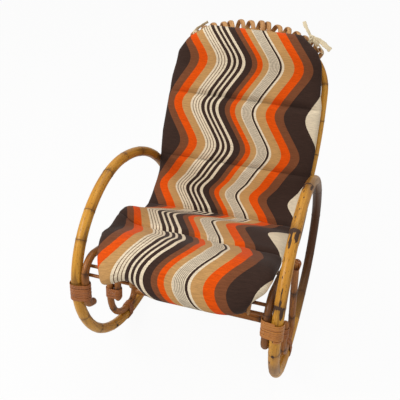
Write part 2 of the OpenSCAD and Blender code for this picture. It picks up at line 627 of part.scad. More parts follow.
hoop_left();
hoop_right();
u_support_left();
u_support_right();
front_post_left();
front_post_right();
seat_rail_left();
seat_rail_right();
back_arch();
rim_coil();
front_rod_lower();
front_rod_upper();
low_stretcher();
seat_bar_front();
seat_bar_rear();
crease_bar();
back_bar_low();
back_bar_mid();
back_bar_top();
seat_rod_1();
seat_rod_2();
seat_rod_3();
seat_rod_4();
seat_rod_5();
seat_rod_6();
back_rod_1();
back_rod_2();
back_rod_3();
back_rod_4();
back_rod_5();
back_rod_6();
front_binding_left();
front_binding_right();
splice_binding_left();
splice_binding_right();
runner_binding_left();
runner_binding_right();
leg_binding_left();
leg_binding_right();
back_binding_left();
back_binding_right();
cushion();
tie_left();
tie_right();
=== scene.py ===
import math

import bpy
import numpy as np
from mathutils import Matrix, Vector


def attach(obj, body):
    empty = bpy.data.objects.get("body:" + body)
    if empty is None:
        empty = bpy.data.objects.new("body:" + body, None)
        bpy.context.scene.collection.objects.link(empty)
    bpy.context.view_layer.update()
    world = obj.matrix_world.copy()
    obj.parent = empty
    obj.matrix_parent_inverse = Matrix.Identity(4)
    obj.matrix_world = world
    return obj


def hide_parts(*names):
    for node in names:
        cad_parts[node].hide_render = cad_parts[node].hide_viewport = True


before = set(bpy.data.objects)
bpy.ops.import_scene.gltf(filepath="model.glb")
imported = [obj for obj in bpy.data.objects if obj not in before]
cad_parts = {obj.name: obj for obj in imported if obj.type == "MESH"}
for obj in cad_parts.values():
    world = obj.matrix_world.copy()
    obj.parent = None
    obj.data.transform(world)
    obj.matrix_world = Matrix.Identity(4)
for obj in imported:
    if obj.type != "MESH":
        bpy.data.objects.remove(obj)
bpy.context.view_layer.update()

# Viewpoint and studio
# The chair stands on a pale floor in soft light. The camera looks down on it from the
# front, a little to its right, as in the photograph.
EYE = Vector((0.4344, -1.5464, 1.6032))
TURN = math.radians(17.26)
TILT = math.radians(35.0)
ROLL = math.radians(0.41)
FOCAL_PIXELS = 596.0
FRAME_PIXELS = 400.0
CENTRE_PIXEL = 206.66
SENSOR = 36.0
WHITE = (1, 1, 1, 1)
WARM_WHITE = (1.0, 0.985, 0.96, 1)
FLOOR_GREY = (0.70, 0.70, 0.69, 1)
FLOOR_WHITE_SHARE = 0.94

sight = Vector((-math.sin(TURN) * math.cos(TILT), math.cos(TURN) * math.cos(TILT), -math.sin(TILT)))
level = Vector((math.cos(TURN), math.sin(TURN), 0.0))
upward = level.cross(sight)
right = math.cos(ROLL) * level + math.sin(ROLL) * upward
upward = right.cross(sight)
camera_data = bpy.data.cameras.new("Camera")
camera_data.sensor_width = SENSOR
camera_data.lens = SENSOR * FOCAL_PIXELS / FRAME_PIXELS
camera_data.shift_x = (FRAME_PIXELS / 2 - CENTRE_PIXEL) / FRAME_PIXELS
camera = bpy.data.objects.new("Camera", camera_data)
camera.matrix_world = Matrix.Translation(EYE) @ Matrix((right, upward, -sight)).transposed().to_4x4()
bpy.context.collection.objects.link(camera)
bpy.context.scene.camera = camera
bpy.context.scene.view_settings.view_transform = "Standard"


def lamp(name, place, aim_height, watts, size):
    """A square area lamp at place, facing the point aim_height above the origin."""
    data = bpy.data.lights.new(name, "AREA")
    data.energy = watts
    data.size = size
    thing = bpy.data.objects.new(name, data)
    thing.location = place
    sight_line = Vector((0.0, 0.0, aim_height)) - Vector(place)
    thing.rotation_euler = sight_line.to_track_quat("-Z", "Y").to_euler()
    bpy.context.collection.objects.link(thing)


lamp("Key lamp", (-1.9, -2.0, 2.6), 0.45, 62, 1.3)
lamp("Fill lamp", (2.4, -1.4, 1.7), 0.40, 9, 1.8)
lamp("Top lamp", (0.2, 0.6, 3.0), 0.40, 20, 1.8)


def add(tree, kind, inputs=None, **settings):
    """One shader node. inputs maps a socket to a value or to the output that feeds it."""
    made = tree.nodes.new("ShaderNode" + kind)
    for key, value in settings.items():
        setattr(made, key, value)
    for key, value in (inputs or {}).items():
        if isinstance(value, bpy.types.NodeSocket):
            tree.links.new(value, made.inputs[key])
        else:
            made.inputs[key].default_value = value
    return made


def bare_material(name):
    """A new material and its node tree, emptied."""
    material = bpy.data.materials.new(name)
    material.use_nodes = True
    material.node_tree.nodes.clear()
    return material, material.node_tree


world = bpy.data.worlds.new("Studio")
bpy.context.scene.world = world
world.use_nodes = True
sky = world.node_tree
sky.nodes.clear()
rays = add(sky, "LightPath")
seen = add(sky, "Background", {"Color": WHITE, "Strength": 1.0})
glow = add(sky, "Background", {"Color": WARM_WHITE, "Strength": 0.55})
mixed = add(sky, "MixShader", {0: rays.outputs["Is Camera Ray"], 1: glow.outputs[0], 2: seen.outputs[0]})
add(sky, "OutputWorld", {"Surface": mixed.outputs[0]})

floor_mesh = bpy.data.meshes.new("Floor")
floor_mesh.from_pydata([(-6, -6, 0), (6, -6, 0), (6, 8, 0), (-6, 8, 0)], [], [(0, 1, 2, 3)])
floor = bpy.data.objects.new("Floor", floor_mesh)
bpy.context.collection.objects.link(floor)
floor_paint, tree = bare_material("White floor")
rays = add(tree, "LightPath")
matt = add(tree, "BsdfDiffuse", {"Color": FLOOR_GREY})
white = add(tree, "Emission", {"Color": WHITE, "Strength": 1.0})
share = add(tree, "Math", {0: rays.outputs["Is Camera Ray"], 1: FLOOR_WHITE_SHARE}, operation="MULTIPLY")
mixed = add(tree, "MixShader", {0: share.outputs[0], 1: matt.outputs[0], 2: white.outputs[0]})
add(tree, "OutputMaterial", {"Surface": mixed.outputs[0]})
floor_mesh.materials.append(floor_paint)

# Side hoops
# Each hoop is one thick rattan pole, bent hot into a closed egg shape that is the arm
# above and the runner below. The skin is left on, so its node rings show.
HOOP_POLE = 0.032
HOOP_HALF = 0.290
HOOP_TURNS = np.radians((15, 52, 49, 51, 53, 63, 62, 15))
HOOP_RADII = np.array((0.690, 0.176, 0.230, 0.0, 0.311, 0.254, 0.0, 0.690))
ACROSS = np.array((1.0, 0.0, 0.0))
FULL_TURN = 2 * math.pi
GRID_STEP = 0.007
RING_STEPS = np.array((-6, -4, -2.8, -1.9, -1.2, -0.6, 0, 0.6, 1.2, 1.9, 2.8, 4, 6)) / 1000
RING_LEAN = 0.0012
RING_LIP = 0.0007
LIP_WIDE = 0.0034
GROOVE_AT = 0.0004
GROOVE_WIDE = 0.0008
DARK_WIDE = 0.0011
SOIL_REACH = 0.013
SLOW_SWELL = 0.0022
END_ROUND = 0.0022
THINNEST = 0.9


def bent_line(start, moves):
    """A pole's centre line in a plane, a point every millimetre: s, across, up and heading.

    Each move is (turn in radians, radius) for a bend, or (0, length) for a straight run.
    A bend's points are start plus radius times the change of (sine, -cosine) of the heading.
    """
    across, up, heading = start
    rows = [np.array([[0.0, across, up, heading]])]
    gone = 0.0
    for turn, size in moves:
        length = size if turn == 0 else abs(turn) * size
        s = np.linspace(0, length, max(3, int(length * 1000)))[1:]
        if turn == 0:
            h = np.full_like(s, heading)
            a = across + s * math.cos(heading)
            b = up + s * math.sin(heading)
        else:
            bend = math.copysign(size, turn)
            h = heading + s / bend
            a = across + bend * (np.sin(h) - math.sin(heading))
            b = up - bend * (np.cos(h) - math.cos(heading))
        rows.append(np.stack([gone + s, a, b, h], axis=1))
        gone += length
        across, up, heading = a[-1], b[-1], h[-1]
    return np.concatenate(rows)


def in_side_plane(line, x):
    """Turns a line in the plane of Y and Z at x into places, centres, inward normals and across."""
    centres = np.stack([np.full(len(line), x), line[:, 1], line[:, 2]], axis=1)
    normals = np.stack([np.zeros(len(line)), -np.sin(line[:, 3]), np.cos(line[:, 3])], axis=1)
    return line[:, 0], centres, normals, ACROSS


def read_along(s, s_path, rows):
    """Reads rows of three numbers, given along a line, at the places s."""
    return np.stack([np.interp(s, s_path, rows[:, k]) for k in range(3)], axis=1)


def unit(rows):
    """Directions made one long."""
    return rows / np.linalg.norm(rows, axis=-1, keepdims=True)


def wave(share, cycles, shift=0.0):
    """A sine of so many cycles over a share from 0 to 1."""
    return np.sin(FULL_TURN * cycles * share + shift)


def bell(x, at, wide, power=2):
    """One at the place at, falling off as e to the minus (distance over wide) to the power."""
    return np.exp(-np.abs((x - at) / wide) ** power)


def rounded(d, size, least):
    """A quarter circle: from 0 at an end to 1 at the distance size from it, and never under least."""
    return np.sqrt(np.clip(1 - (1 - np.clip(d / size, 0, 1)) ** 2, least, 1))


def tube_skin(sides, length, count, closed=False):
    """Quads and skin map of a tube of count rings: distance along it and share round it."""
    ii, jj = np.meshgrid(np.arange(count if closed else count - 1), np.arange(sides), indexing="ij")
    i2 = (ii + 1) % count
    j2 = (jj + 1) % sides
    quads = np.stack([ii * sides + jj, ii * sides + j2, i2 * sides + j2, i2 * sides + jj], axis=-1)
    corners = ((length[ii], jj), (length[ii], jj + 1), (length[ii + 1], jj + 1), (length[ii + 1], jj))
    uv = np.stack([np.stack([u, v / sides], axis=-1) for u, v in corners], axis=2)
    return quads.reshape(-1, 4).tolist(), uv.reshape(-1, 2)


def put_mesh(name, points, faces, skin, nodes, maps, marks):
    """Makes a smooth mesh object that rides on the chair and stands for CAD nodes.

    skin is a material and its slot name, of which only the material is used; maps are its
    UV maps, and marks are numbers kept for each point, for the material to read.
    """
    mesh = bpy.data.meshes.new(name)
    mesh.from_pydata(points.reshape(-1, 3).tolist(), [], faces)
    mesh.polygons.foreach_set("use_smooth", np.ones(len(mesh.polygons), dtype=bool))
    mesh.materials.append(skin[0])
    for key, uv in maps.items():
        mesh.uv_layers.new(name=key).data.foreach_set("uv", uv.ravel())
    for key, values in marks.items():
        kept = mesh.attributes.new(key, "FLOAT", "POINT")
        kept.data.foreach_set("value", values.ravel().astype(np.float32))
    thing = bpy.data.objects.new(name, mesh)
    bpy.context.collection.objects.link(thing)
    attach(thing, "root")
    if nodes:
        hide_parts(*nodes)
    return thing


def cane_pole(node, path, width, rings, skin, seed, sides=24, closed=False, scars=(), stains_and_shade=(), name=None):
    """A rattan pole along a path: a circle whose radius swells at each node ring.

    The radius is half the width, times a slow random change, plus a lip of bell shape and
    less a narrow groove at each ring. scars are (s, angle, length, width) of patches where
    the skin has come off. The darkened stretches are (s, length, depth); they are partly
    dirt and partly painted shade where the pole lies in shadow.
    """
    s_path, centres, normals, across = path
    rng = np.random.default_rng(seed)
    total = s_path[-1]
    rings = np.sort(rings)
    steps = [np.arange(0, total, GRID_STEP), [total]] + [ring + RING_STEPS for ring in rings]
    s = np.unique(np.round(np.clip(np.concatenate(steps), 0, total), 5))
    if closed:
        s = s[:-1]
    count = len(s)
    c = read_along(s, s_path, centres)
    n = unit(read_along(s, s_path, normals))
    angle = np.linspace(0, FULL_TURN, sides, endpoint=False)
    phases = rng.uniform(0, FULL_TURN, 4)
    swell = sum(wave(s / total, cycles, phase) for cycles, phase in zip((3, 5, 8, 11), phases)) * SLOW_SWELL
    shape = np.full((count, sides), width / 2) * (1 + swell[:, None])
    dark = np.zeros_like(shape)
    near = np.zeros_like(shape)
    worn = np.zeros_like(shape)
    tone = np.full(count, rng.uniform(-1, 1))
    for ring in rings:
        askew = rng.uniform(0, FULL_TURN)
        d = s[:, None] - ring - RING_LEAN * np.cos(angle + askew)
        if closed:
            d = (d + total / 2) % total - total / 2
        shape += RING_LIP * (bell(d, 0, LIP_WIDE) - 0.75 * bell(d, GROOVE_AT, GROOVE_WIDE))
        dark = np.maximum(dark, bell(d, GROOVE_AT, DARK_WIDE) * rng.uniform(0.7, 1.0))
        near = np.maximum(near, bell(d, 0, SOIL_REACH, 1))
        tone[s > ring] = rng.uniform(-1, 1)
    for at, where, long, wide in scars:
        turn = (angle - where + math.pi) % FULL_TURN - math.pi
        worn = np.maximum(worn, bell(s, at, long)[:, None] * bell(turn, 0, wide))
    # Darker stretches, partly dirt and partly painted shade where the pole lies in shadow.
    stain_and_shade = sum((depth * bell(s, at, long, 4) for at, long, depth in stains_and_shade), 0 * s)
    shape = np.maximum(shape, THINNEST * width / 2)
    if not closed:
        shape *= (rounded(s, END_ROUND, 0.3) * rounded(total - s, END_ROUND, 0.3))[:, None]
    ring_way = np.cos(angle)[None, :, None] * n[:, None, :] + np.sin(angle)[None, :, None] * across
    points = (c[:, None, :] + shape[..., None] * ring_way).reshape(-1, 3)
    faces, uv = tube_skin(sides, np.append(s, total), count, closed)
    pad = np.zeros(0 if closed else 2)
    if not closed:
        first = len(points)
        last = first - sides
        points = np.concatenate([points, c[[0, -1]]])
        faces += [(first, (k + 1) % sides, k) for k in range(sides)]
        faces += [(first + 1, last + k, last + (k + 1) % sides) for k in range(sides)]
        uv = np.concatenate([uv, np.tile((0.0, 0.5), (6 * sides, 1))])
    marks = {"ring": dark, "near_ring": near, "worn": worn, "tone": np.repeat(tone, sides),
             "stain_and_shade": np.repeat(np.clip(stain_and_shade, 0, 1), sides)}
    marks = {key: np.concatenate([values.ravel(), pad]) for key, values in marks.items()}
    put_mesh(name or node + "_cane", points, faces, skin, [node], {"skin": uv}, marks)


def paint(red, green, blue):
    """A colour given as it looks on screen, 0 to 255, turned into Blender's linear light."""
    steps = np.array((red, green, blue)) / 255.0
    low = steps / 12.92
    high = ((steps + 0.055) / 1.055) ** 2.4
    return (*np.where(steps <= 0.04045, low, high).tolist(), 1.0)


def sums(tree, kind, a, b=0.0, c=0.0):
    """One sum on up to three values."""
    return add(tree, "Math", {0: a, 1: b, 2: c}, operation=kind).outputs[0]


def span(tree, value, low, high, to_low=0.0, to_high=1.0, kind="SMOOTHSTEP"):
    """Maps low..high on to to_low..to_high."""
    ends = {0: value, 1: low, 2: high, 3: to_low, 4: to_high}
    return add(tree, "MapRange", ends, interpolation_type=kind).outputs[0]


def blend(tree, share, a, b, kind="MIX"):
    """Mixes two colours by a share."""
    return add(tree, "Mix", {0: share, 6: a, 7: b}, data_type="RGBA", blend_type=kind).outputs[2]


def mark(tree, name):
    """Reads one of the numbers kept on the mesh."""
    return add(tree, "Attribute", attribute_name=name).outputs["Fac"]


def noise(tree, place, detail, rough=0.5):
    """Blender's noise, from 0 to 1, at a place that is already scaled."""
    settings = {"Vector": place, "Scale": 1.0, "Detail": detail, "Roughness": rough}
    return add(tree, "TexNoise", settings).outputs[0]


def cane_skin_group():
    """Colour, roughness and height of rattan skin, from the skin map and the ring marks.

    Streaks and threads are noise drawn out along the pole, soil gathers at the rings, and
    the skin is bare where a ragged noise plus the worn mark passes a level.
    """
    group = bpy.data.node_groups.new("Cane skin", "ShaderNodeTree")
    for name in ("Pale", "Mid", "Deep"):
        group.interface.new_socket(name, in_out="INPUT", socket_type="NodeSocketColor")
    for name in ("Soil", "Wear", "Gloss"):
        group.interface.new_socket(name, in_out="INPUT", socket_type="NodeSocketFloat")
    group.interface.new_socket("Color", in_out="OUTPUT", socket_type="NodeSocketColor")
    for name in ("Roughness", "Height"):
        group.interface.new_socket(name, in_out="OUTPUT", socket_type="NodeSocketFloat")
    given = group.nodes.new("NodeGroupInput").outputs
    leave = group.nodes.new("NodeGroupOutput").inputs
    split = add(group, "SeparateXYZ", {0: add(group, "UVMap", uv_map="skin").outputs[0]})
    spin = sums(group, "MULTIPLY", split.outputs[1], FULL_TURN)
    place = {0: split.outputs[0], 1: sums(group, "COSINE", spin), 2: sums(group, "SINE", spin)}
    around = add(group, "CombineXYZ", place)

    def grain(along, about, detail, rough, shift):
        """Noise on the skin, drawn out along the pole by the ratio of the two scales."""
        scaled = {0: around.outputs[0], 1: (along, about, about), 2: (shift, shift, 0)}
        moved = add(group, "VectorMath", scaled, operation="MULTIPLY_ADD")
        return noise(group, moved.outputs[0], detail, rough)

    streaks = grain(11.0, 3.2, 3.0, 0.55, 0.0)
    threads = grain(26.0, 17.0, 2.0, 0.6, 3.7)
    clouds = grain(7.0, 0.9, 4.0, 0.6, 9.1)
    flecks = grain(150.0, 5.5, 2.0, 0.5, 5.3)
    rags = grain(34.0, 2.6, 4.0, 0.65, 1.9)
    near = mark(group, "near_ring")
    colour = blend(group, span(group, streaks, 0.30, 0.70, 0.10, 0.85), given["Pale"], given["Mid"])
    cloudy = span(group, sums(group, "MULTIPLY_ADD", near, 0.24, clouds), 0.5, 0.78)
    colour = blend(group, sums(group, "MULTIPLY", cloudy, given["Soil"]), colour, given["Deep"])
    flecked = sums(group, "MULTIPLY", span(group, flecks, 0.61, 0.70), 0.75)
    colour = blend(group, flecked, colour, given["Deep"])
    tone = sums(group, "MULTIPLY", sums(group, "MULTIPLY_ADD", mark(group, "tone"), 0.5, 0.5), 0.22)
    colour = blend(group, tone, colour, given["Mid"], "MULTIPLY")
    # Painted shade and dirt: the darkened stretches blend the skin towards the deep colour.
    colour = blend(group, mark(group, "stain_and_shade"), colour, given["Deep"])
    colour = blend(group, span(group, threads, 0.3, 0.7, 0.0, 0.12), colour, given["Deep"])
    ringed = sums(group, "MULTIPLY", mark(group, "ring"), 0.85)
    colour = blend(group, ringed, colour, paint(60, 34, 18))
    ragged = sums(group, "MULTIPLY_ADD", rags, 0.9, sums(group, "MULTIPLY_ADD", near, 0.10, -0.45))
    worn = sums(group, "MULTIPLY_ADD", mark(group, "worn"), 1.0, -0.62)
    peeled = span(group, sums(group, "MULTIPLY_ADD", ragged, 1.5, worn), 0.0, 0.07)
    bare = sums(group, "MULTIPLY", peeled, given["Wear"])
    colour = blend(group, bare, colour, blend(group, threads, paint(38, 27, 22), paint(92, 66, 50)))
    streaked = sums(group, "MULTIPLY_ADD", streaks, 0.16, given["Gloss"])
    sunk = sums(group, "MULTIPLY_ADD", bare, -0.9, sums(group, "MULTIPLY", streaks, 0.3))
    group.links.new(colour, leave["Color"])
    group.links.new(sums(group, "MULTIPLY_ADD", bare, 0.35, streaked), leave["Roughness"])
    group.links.new(sums(group, "MULTIPLY_ADD", threads, 0.25, sunk), leave["Height"])
    return group


def surface(tree, colour, height, depth, strength, values):
    """A material's bump, its one shader and its output. values are the shader's other sockets."""
    relief = add(tree, "Bump", {"Height": height, "Distance": depth, "Strength": strength})
    shader = add(tree, "BsdfPrincipled", {"Base Color": colour, "Normal": relief.outputs[0], **values})
    add(tree, "OutputMaterial", {"Surface": shader.outputs[0]})


cane_skin = cane_skin_group()


def cane_material(name, slot, pale, mid, deep, soil, wear, gloss, coat, bump=0.0006):
    """A varnished cane skin and its slot: the shared group's results on one shader."""
    material, tree = bare_material(name)
    skin = add(tree, "Group", node_tree=cane_skin)
    for key, colour in (("Pale", pale), ("Mid", mid), ("Deep", deep)):
        skin.inputs[key].default_value = paint(*colour)
    for key, value in (("Soil", soil), ("Wear", wear), ("Gloss", gloss)):
        skin.inputs[key].default_value = value
    surface(tree, skin.outputs["Color"], skin.outputs["Height"], bump, 0.8, {
        "Roughness": skin.outputs["Roughness"], "Coat Weight": coat, "Coat Roughness": 0.22,
        "Specular IOR Level": 0.20})
    return material, slot


honey_cane = cane_material("Honey cane", "cane_honey", (222, 165, 62), (194, 133, 44), (82, 48, 24),
                           0.62, 1.0, 0.30, 0.12)

# The long arm slope and the front bend are sized so that the eight bends close.
heads = np.concatenate([[0.0], np.cumsum(HOOP_TURNS)])
ways = np.stack([np.diff(np.sin(heads)), -np.diff(np.cos(heads))])
HOOP_RADII[[3, 6]] = np.linalg.solve(ways[:, [3, 6]], -(ways @ HOOP_RADII))
hoop_line = bent_line((0.0, HOOP_POLE / 2, 0.0), list(zip(HOOP_TURNS, HOOP_RADII)))
left_rings = (0.09, 0.27, 0.45, 0.61, 0.765, 0.920, 1.045, 1.159, 1.300, 1.386, 1.509, 1.656, 1.80, 1.920,
              2.06)
right_rings = (0.13, 0.30, 0.47, 0.66, 0.83, 1.036, 1.244, 1.448, 1.600, 1.742, 1.90, 2.05)
left_scars = ((1.17, 1.4, 0.006, 0.3), (1.93, 1.5, 0.008, 0.4))
right_scars = (
    (1.058, 4.1, 0.030, 0.60), (1.036, 3.8, 0.009, 1.50), (1.062, 2.4, 0.030, 0.45),
    (1.278, 3.6, 0.042, 0.42), (1.248, 3.4, 0.010, 1.70), (1.262, 2.65, 0.026, 0.60),
    (1.425, 3.15, 0.045, 0.30), (1.458, 4.2, 0.018, 0.40), (1.462, 2.6, 0.022, 0.50),
    (1.448, 3.4, 0.007, 1.60), (1.528, 3.5, 0.024, 0.36), (1.095, 3.6, 0.007, 0.20),
    (1.128, 3.2, 0.009, 0.18), (1.150, 3.9, 0.007, 0.22), (1.176, 3.4, 0.010, 0.16),
    (1.205, 3.7, 0.008, 0.22), (1.330, 3.9, 0.012, 0.16), (1.372, 3.5, 0.010, 0.14),
    (1.600, 3.2, 0.012, 0.30), (1.640, 3.8, 0.010, 0.35))
# The first stretch on each hoop is painted shade: over the bottom and lower back of the left hoop, and over
# the lower back half of the right hoop. The others darken short stretches.
left_stains_and_shade = ((0.22, 0.30, 0.85), (0.82, 0.25, 0.35))
right_stains_and_shade = ((0.44, 0.48, 1.0), (1.02, 0.07, 0.45), (1.690, 0.045, 0.50))
for word, side, seed, rings, scars, stains_and_shade in (
        ("left", -1, 11, left_rings, left_scars, left_stains_and_shade),
        ("right", 1, 12, right_rings, right_scars, right_stains_and_shade)):
    cane_pole("hoop_" + word, in_side_plane(hoop_line, side * HOOP_HALF), HOOP_POLE, rings, honey_cane, seed,
              32, True, scars, stains_and_shade, word + "_hoop")

# Seat rails
# Two rattan poles, one along each side: a curl at the front, a rise beside the hoop, a
# tight bend into the seat and a wide bend into the foot of the back. Bent hot.
RAIL_POLE = 0.0225
GAP = 0.0003
TOUCH = (HOOP_POLE + RAIL_POLE) / 2 + GAP
RAIL_X = HOOP_HALF - TOUCH
SEAT_FALL = math.radians(20)
BACK_LEAN = math.radians(63)
CURL_BEHIND_HOOP = 0.040
CURL_BELOW_HOOP = 0.044
CURL_HEADING = math.radians(152)
CURL_END = 0.024
CURL_TURN = math.radians(68)
CURL_R = 0.034
RAIL_RISE = 0.070
FRONT_BEND = math.radians(104)
FRONT_BEND_R = 0.050
SEAT_LENGTH = 0.370
CREASE_R = 0.170
RINGLESS_END = 0.02


def ring_places(total, first, pitch, seed):
    """Node rings along a pole, a random 0.8 to 1.2 of the pitch apart."""
    rng = np.random.default_rng(seed)
    gaps = pitch * rng.uniform(0.8, 1.2, int(total / pitch) + 3)
    places = first + np.concatenate([[0.0], np.cumsum(gaps)])
    return places[places < total - RINGLESS_END]


def state_after(start, moves):
    """The place and heading at the end of a chain of moves."""
    return tuple(bent_line(start, moves)[-1, 1:])


def step_from(place, heading, length):
    """The point in the side plane that lies at a length and heading from a place."""
    return np.array((place[0] + length * math.cos(heading), place[1] + length * math.sin(heading)))


brown_cane = cane_material("Brown cane", "cane_brown", (190, 122, 56), (144, 88, 40), (62, 38, 22),
                           0.85, 0.15, 0.36, 0.15)
foremost = hoop_line[np.argmin(hoop_line[:, 1])]
rail_start = (foremost[1] + CURL_BEHIND_HOOP, foremost[2] - CURL_BELOW_HOOP, CURL_HEADING)
rail_moves = [(0, CURL_END), (-CURL_TURN, CURL_R), (0, RAIL_RISE), (-FRONT_BEND, FRONT_BEND_R),
              (0, SEAT_LENGTH), (SEAT_FALL + BACK_LEAN, CREASE_R)]
front_bend = state_after(rail_start, rail_moves[:3])
bend_centre = step_from(front_bend, front_bend[2] - math.pi / 2, FRONT_BEND_R)
seat_start = state_after(rail_start, rail_moves[:4])
crease_start = state_after(rail_start, rail_moves[:5])
crease_centre = step_from(crease_start, crease_start[2] + math.pi / 2, CREASE_R)
back_start = state_after(rail_start, rail_moves)
lean = np.array((math.cos(BACK_LEAN), math.sin(BACK_LEAN)))
to_hoop = hoop_line[:, 1:3] - np.array(back_start[:2])
ahead = to_hoop @ lean
aside = np.abs(to_hoop[:, 0] * lean[1] - to_hoop[:, 1] * lean[0])
foot_length = float(ahead[np.argmin(np.where((ahead > 0) & (ahead < 0.1), aside, 9.0))])
foot = np.array(back_start[:2]) + foot_length * lean
rail_line = bent_line(rail_start, rail_moves + [(0, foot_length)])
# Each rail has a darkened middle stretch. On the right rail it is deep: partly dirt and partly painted shade
# on the chair's shaded right side.
for word, side, seed, soot_and_shade in (("left", -1, 21, 0.2), ("right", 1, 22, 0.7)):
    cane_pole("seat_rail_" + word, in_side_plane(rail_line, side * RAIL_X), RAIL_POLE,
              ring_places(rail_line[-1, 0], 0.15, 0.17, seed), brown_cane, seed, stains_and_shade=((0.5, 0.6, soot_and_shade),))

# Supports and front posts
# On each side a U of rattan stands in the hoop: its front leg and a short post carry the
# front of the seat, its foot lies on the runner and its rear leg rises to the seat rail.
U_FRONT_R = 0.142
U_REAR_R = 0.032
U_LEG = 0.050
U_LEAN = math.radians(8)
U_FOLLOW = math.radians(3)
U_REAR = math.radians(103)
U_OVERLAP = 0.016
POST_OVERLAP = 0.017
POST_STOP = RAIL_POLE * 0.52
RUNNER_R = HOOP_RADII[0]
DROP = math.radians(15)

inner_r = RUNNER_R - TOUCH
u_low = (-inner_r * math.sin(DROP), HOOP_POLE / 2 + RUNNER_R - inner_r * math.cos(DROP), -DROP)
post_heading = math.pi / 2 - U_LEAN
u_front = step_from(step_from(u_low, math.pi / 2 - DROP, U_FRONT_R), math.pi - U_LEAN, U_FRONT_R)
u_start = (*step_from(u_front, post_heading, U_LEG), -math.pi / 2 - U_LEAN)
u_turn = state_after(u_low, [(U_FOLLOW, inner_r)])
u_rise = state_after(u_turn, [(DROP - U_FOLLOW + U_REAR, U_REAR_R)])


def to_seat_line(place, heading):
    """How far a straight pole runs from a place to the centre line of the seat rails."""
    y, z = seat_start[0] - place[0], seat_start[1] - place[1]
    return (y * math.sin(SEAT_FALL) + z * math.cos(SEAT_FALL)) / math.sin(heading + SEAT_FALL)


u_meet = to_seat_line(u_rise, U_REAR)
u_moves = [(0, U_LEG), (math.pi / 2 - DROP + U_LEAN, U_FRONT_R), (U_FOLLOW, inner_r),
           (DROP - U_FOLLOW + U_REAR, U_REAR_R), (0, u_meet + U_OVERLAP)]
u_line = bent_line(u_start, u_moves)
post_low = step_from(u_front, post_heading, -POST_OVERLAP)
post_length = to_seat_line(post_low, post_heading) - POST_STOP
post_line = bent_line((*post_low, post_heading), [(0, post_length)])
for word, side, seed in (("left", -1, 31), ("right", 1, 32)):
    cane_pole("u_support_" + word, in_side_plane(u_line, side * HOOP_HALF), RAIL_POLE,
              ring_places(u_line[-1, 0], 0.12, 0.15, seed), brown_cane, seed)
    cane_pole("front_post_" + word, in_side_plane(post_line, side * RAIL_X), RAIL_POLE,
              ring_places(post_length, 0.05, 0.14, seed + 5), brown_cane, seed + 5)

# Back arch
# One rattan pole bent into an arch with two wide corners. It stands on the ends of the
# seat rails and leans with the back. Its legs flare a little at their feet.
ARCH_HEIGHT = 0.480
CORNER_R = 0.165
FLARE = math.radians(4)
CROWN_HALF = math.radians(18)
FORWARD = np.array((0.0, -math.sin(BACK_LEAN), math.cos(BACK_LEAN)))
UP_BACK = np.array((0.0, math.cos(BACK_LEAN), math.sin(BACK_LEAN)))

crown_r = (RAIL_X - CORNER_R * (math.cos(FLARE) - math.sin(CROWN_HALF))) / math.sin(CROWN_HALF)
corner_rise = CORNER_R * (math.cos(CROWN_HALF) - math.sin(FLARE))
leg_run = ARCH_HEIGHT - corner_rise - crown_r * (1 - math.cos(CROWN_HALF))
leg_r = leg_run / (2 * math.sin(FLARE))
leg = (-2 * FLARE, leg_r)
corner = (FLARE - math.pi / 2 + CROWN_HALF, CORNER_R)
arch_moves = [leg, corner, (-2 * CROWN_HALF, crown_r), corner, leg]
arch_line = bent_line((-RAIL_X, 0.0, math.pi / 2 + FLARE), arch_moves)


def back_way(across, up, forward=0.0):
    """Directions in the leaning back: parts across the chair, up the back and forward, added."""
    outer = np.multiply.outer
    return outer(across, ACROSS) + outer(up, UP_BACK) + outer(forward, FORWARD)


def in_back_plane(across, up, off=0.0):
    """Points of the leaning back: across the chair, up from the arch's feet, forward by off."""
    return np.array((0.0, foot[0], foot[1])) + back_way(across, up, off)


arch_centres = in_back_plane(arch_line[:, 1], arch_line[:, 2])
arch_normals = back_way(-np.sin(arch_line[:, 3]), np.cos(arch_line[:, 3]))
arch_rings = (0.085, 0.20, 0.315, 0.45, 0.62, 0.80, 0.98, 1.10, 1.215, 1.29)
cane_pole("back_arch", (arch_line[:, 0], arch_centres, arch_normals, FORWARD), RAIL_POLE, arch_rings,
          honey_cane, 41)

# Wound rim
# One long whip of split cane, wound in open turns round the top of the arch. The arch
# shows between the turns. It was wound by hand, so the turns are not all alike.
COIL_CANE = 0.0085
COIL_R = 0.024
COIL_TURNS = 15
COIL_STEPS = 44
COIL_FROM = math.radians(40)
COIL_LEAN = 0.0075
COIL_FLAT = 0.84
COIL_BROAD = 1.80


def gone_along(points):
    """The distance gone along a line of points, from 0 at its first."""
    return np.concatenate([[0.0], np.cumsum(np.linalg.norm(np.diff(points, axis=0), axis=1))])


def powered(swing, power):
    """A sine or cosine whose size is taken to a power and whose sign is kept."""
    return np.sign(swing) * np.abs(swing) ** power


def sweep(name, centres, outward, half_out, half_side, skin, nodes, tone, sides=12, power=1.0):
    """A strip or tube: an oval section carried along centres, its first half size outward.

    The section is half_out times cosine and half_side times sine, each to the power given.
    """
    count = len(centres)
    along = unit(np.gradient(centres, axis=0))
    out = unit(outward - np.sum(outward * along, axis=1)[:, None] * along)
    side = np.cross(along, out)
    angle = np.linspace(0, FULL_TURN, sides, endpoint=False)
    a = (half_out * np.ones(count))[:, None] * powered(np.cos(angle), power)
    b = (half_side * np.ones(count))[:, None] * powered(np.sin(angle), power)
    points = centres[:, None, :] + a[..., None] * out[:, None, :] + b[..., None] * side[:, None, :]
    faces, uv = tube_skin(sides, gone_along(centres), count)
    faces += [list(range(sides))[::-1], [(count - 1) * sides + k for k in range(sides)]]
    uv = np.concatenate([uv, np.zeros((2 * sides, 2))])
    marks = {"tone": np.repeat(tone * np.ones(count), sides)}
    put_mesh(name, points, faces, skin, nodes, {"skin": uv}, marks)


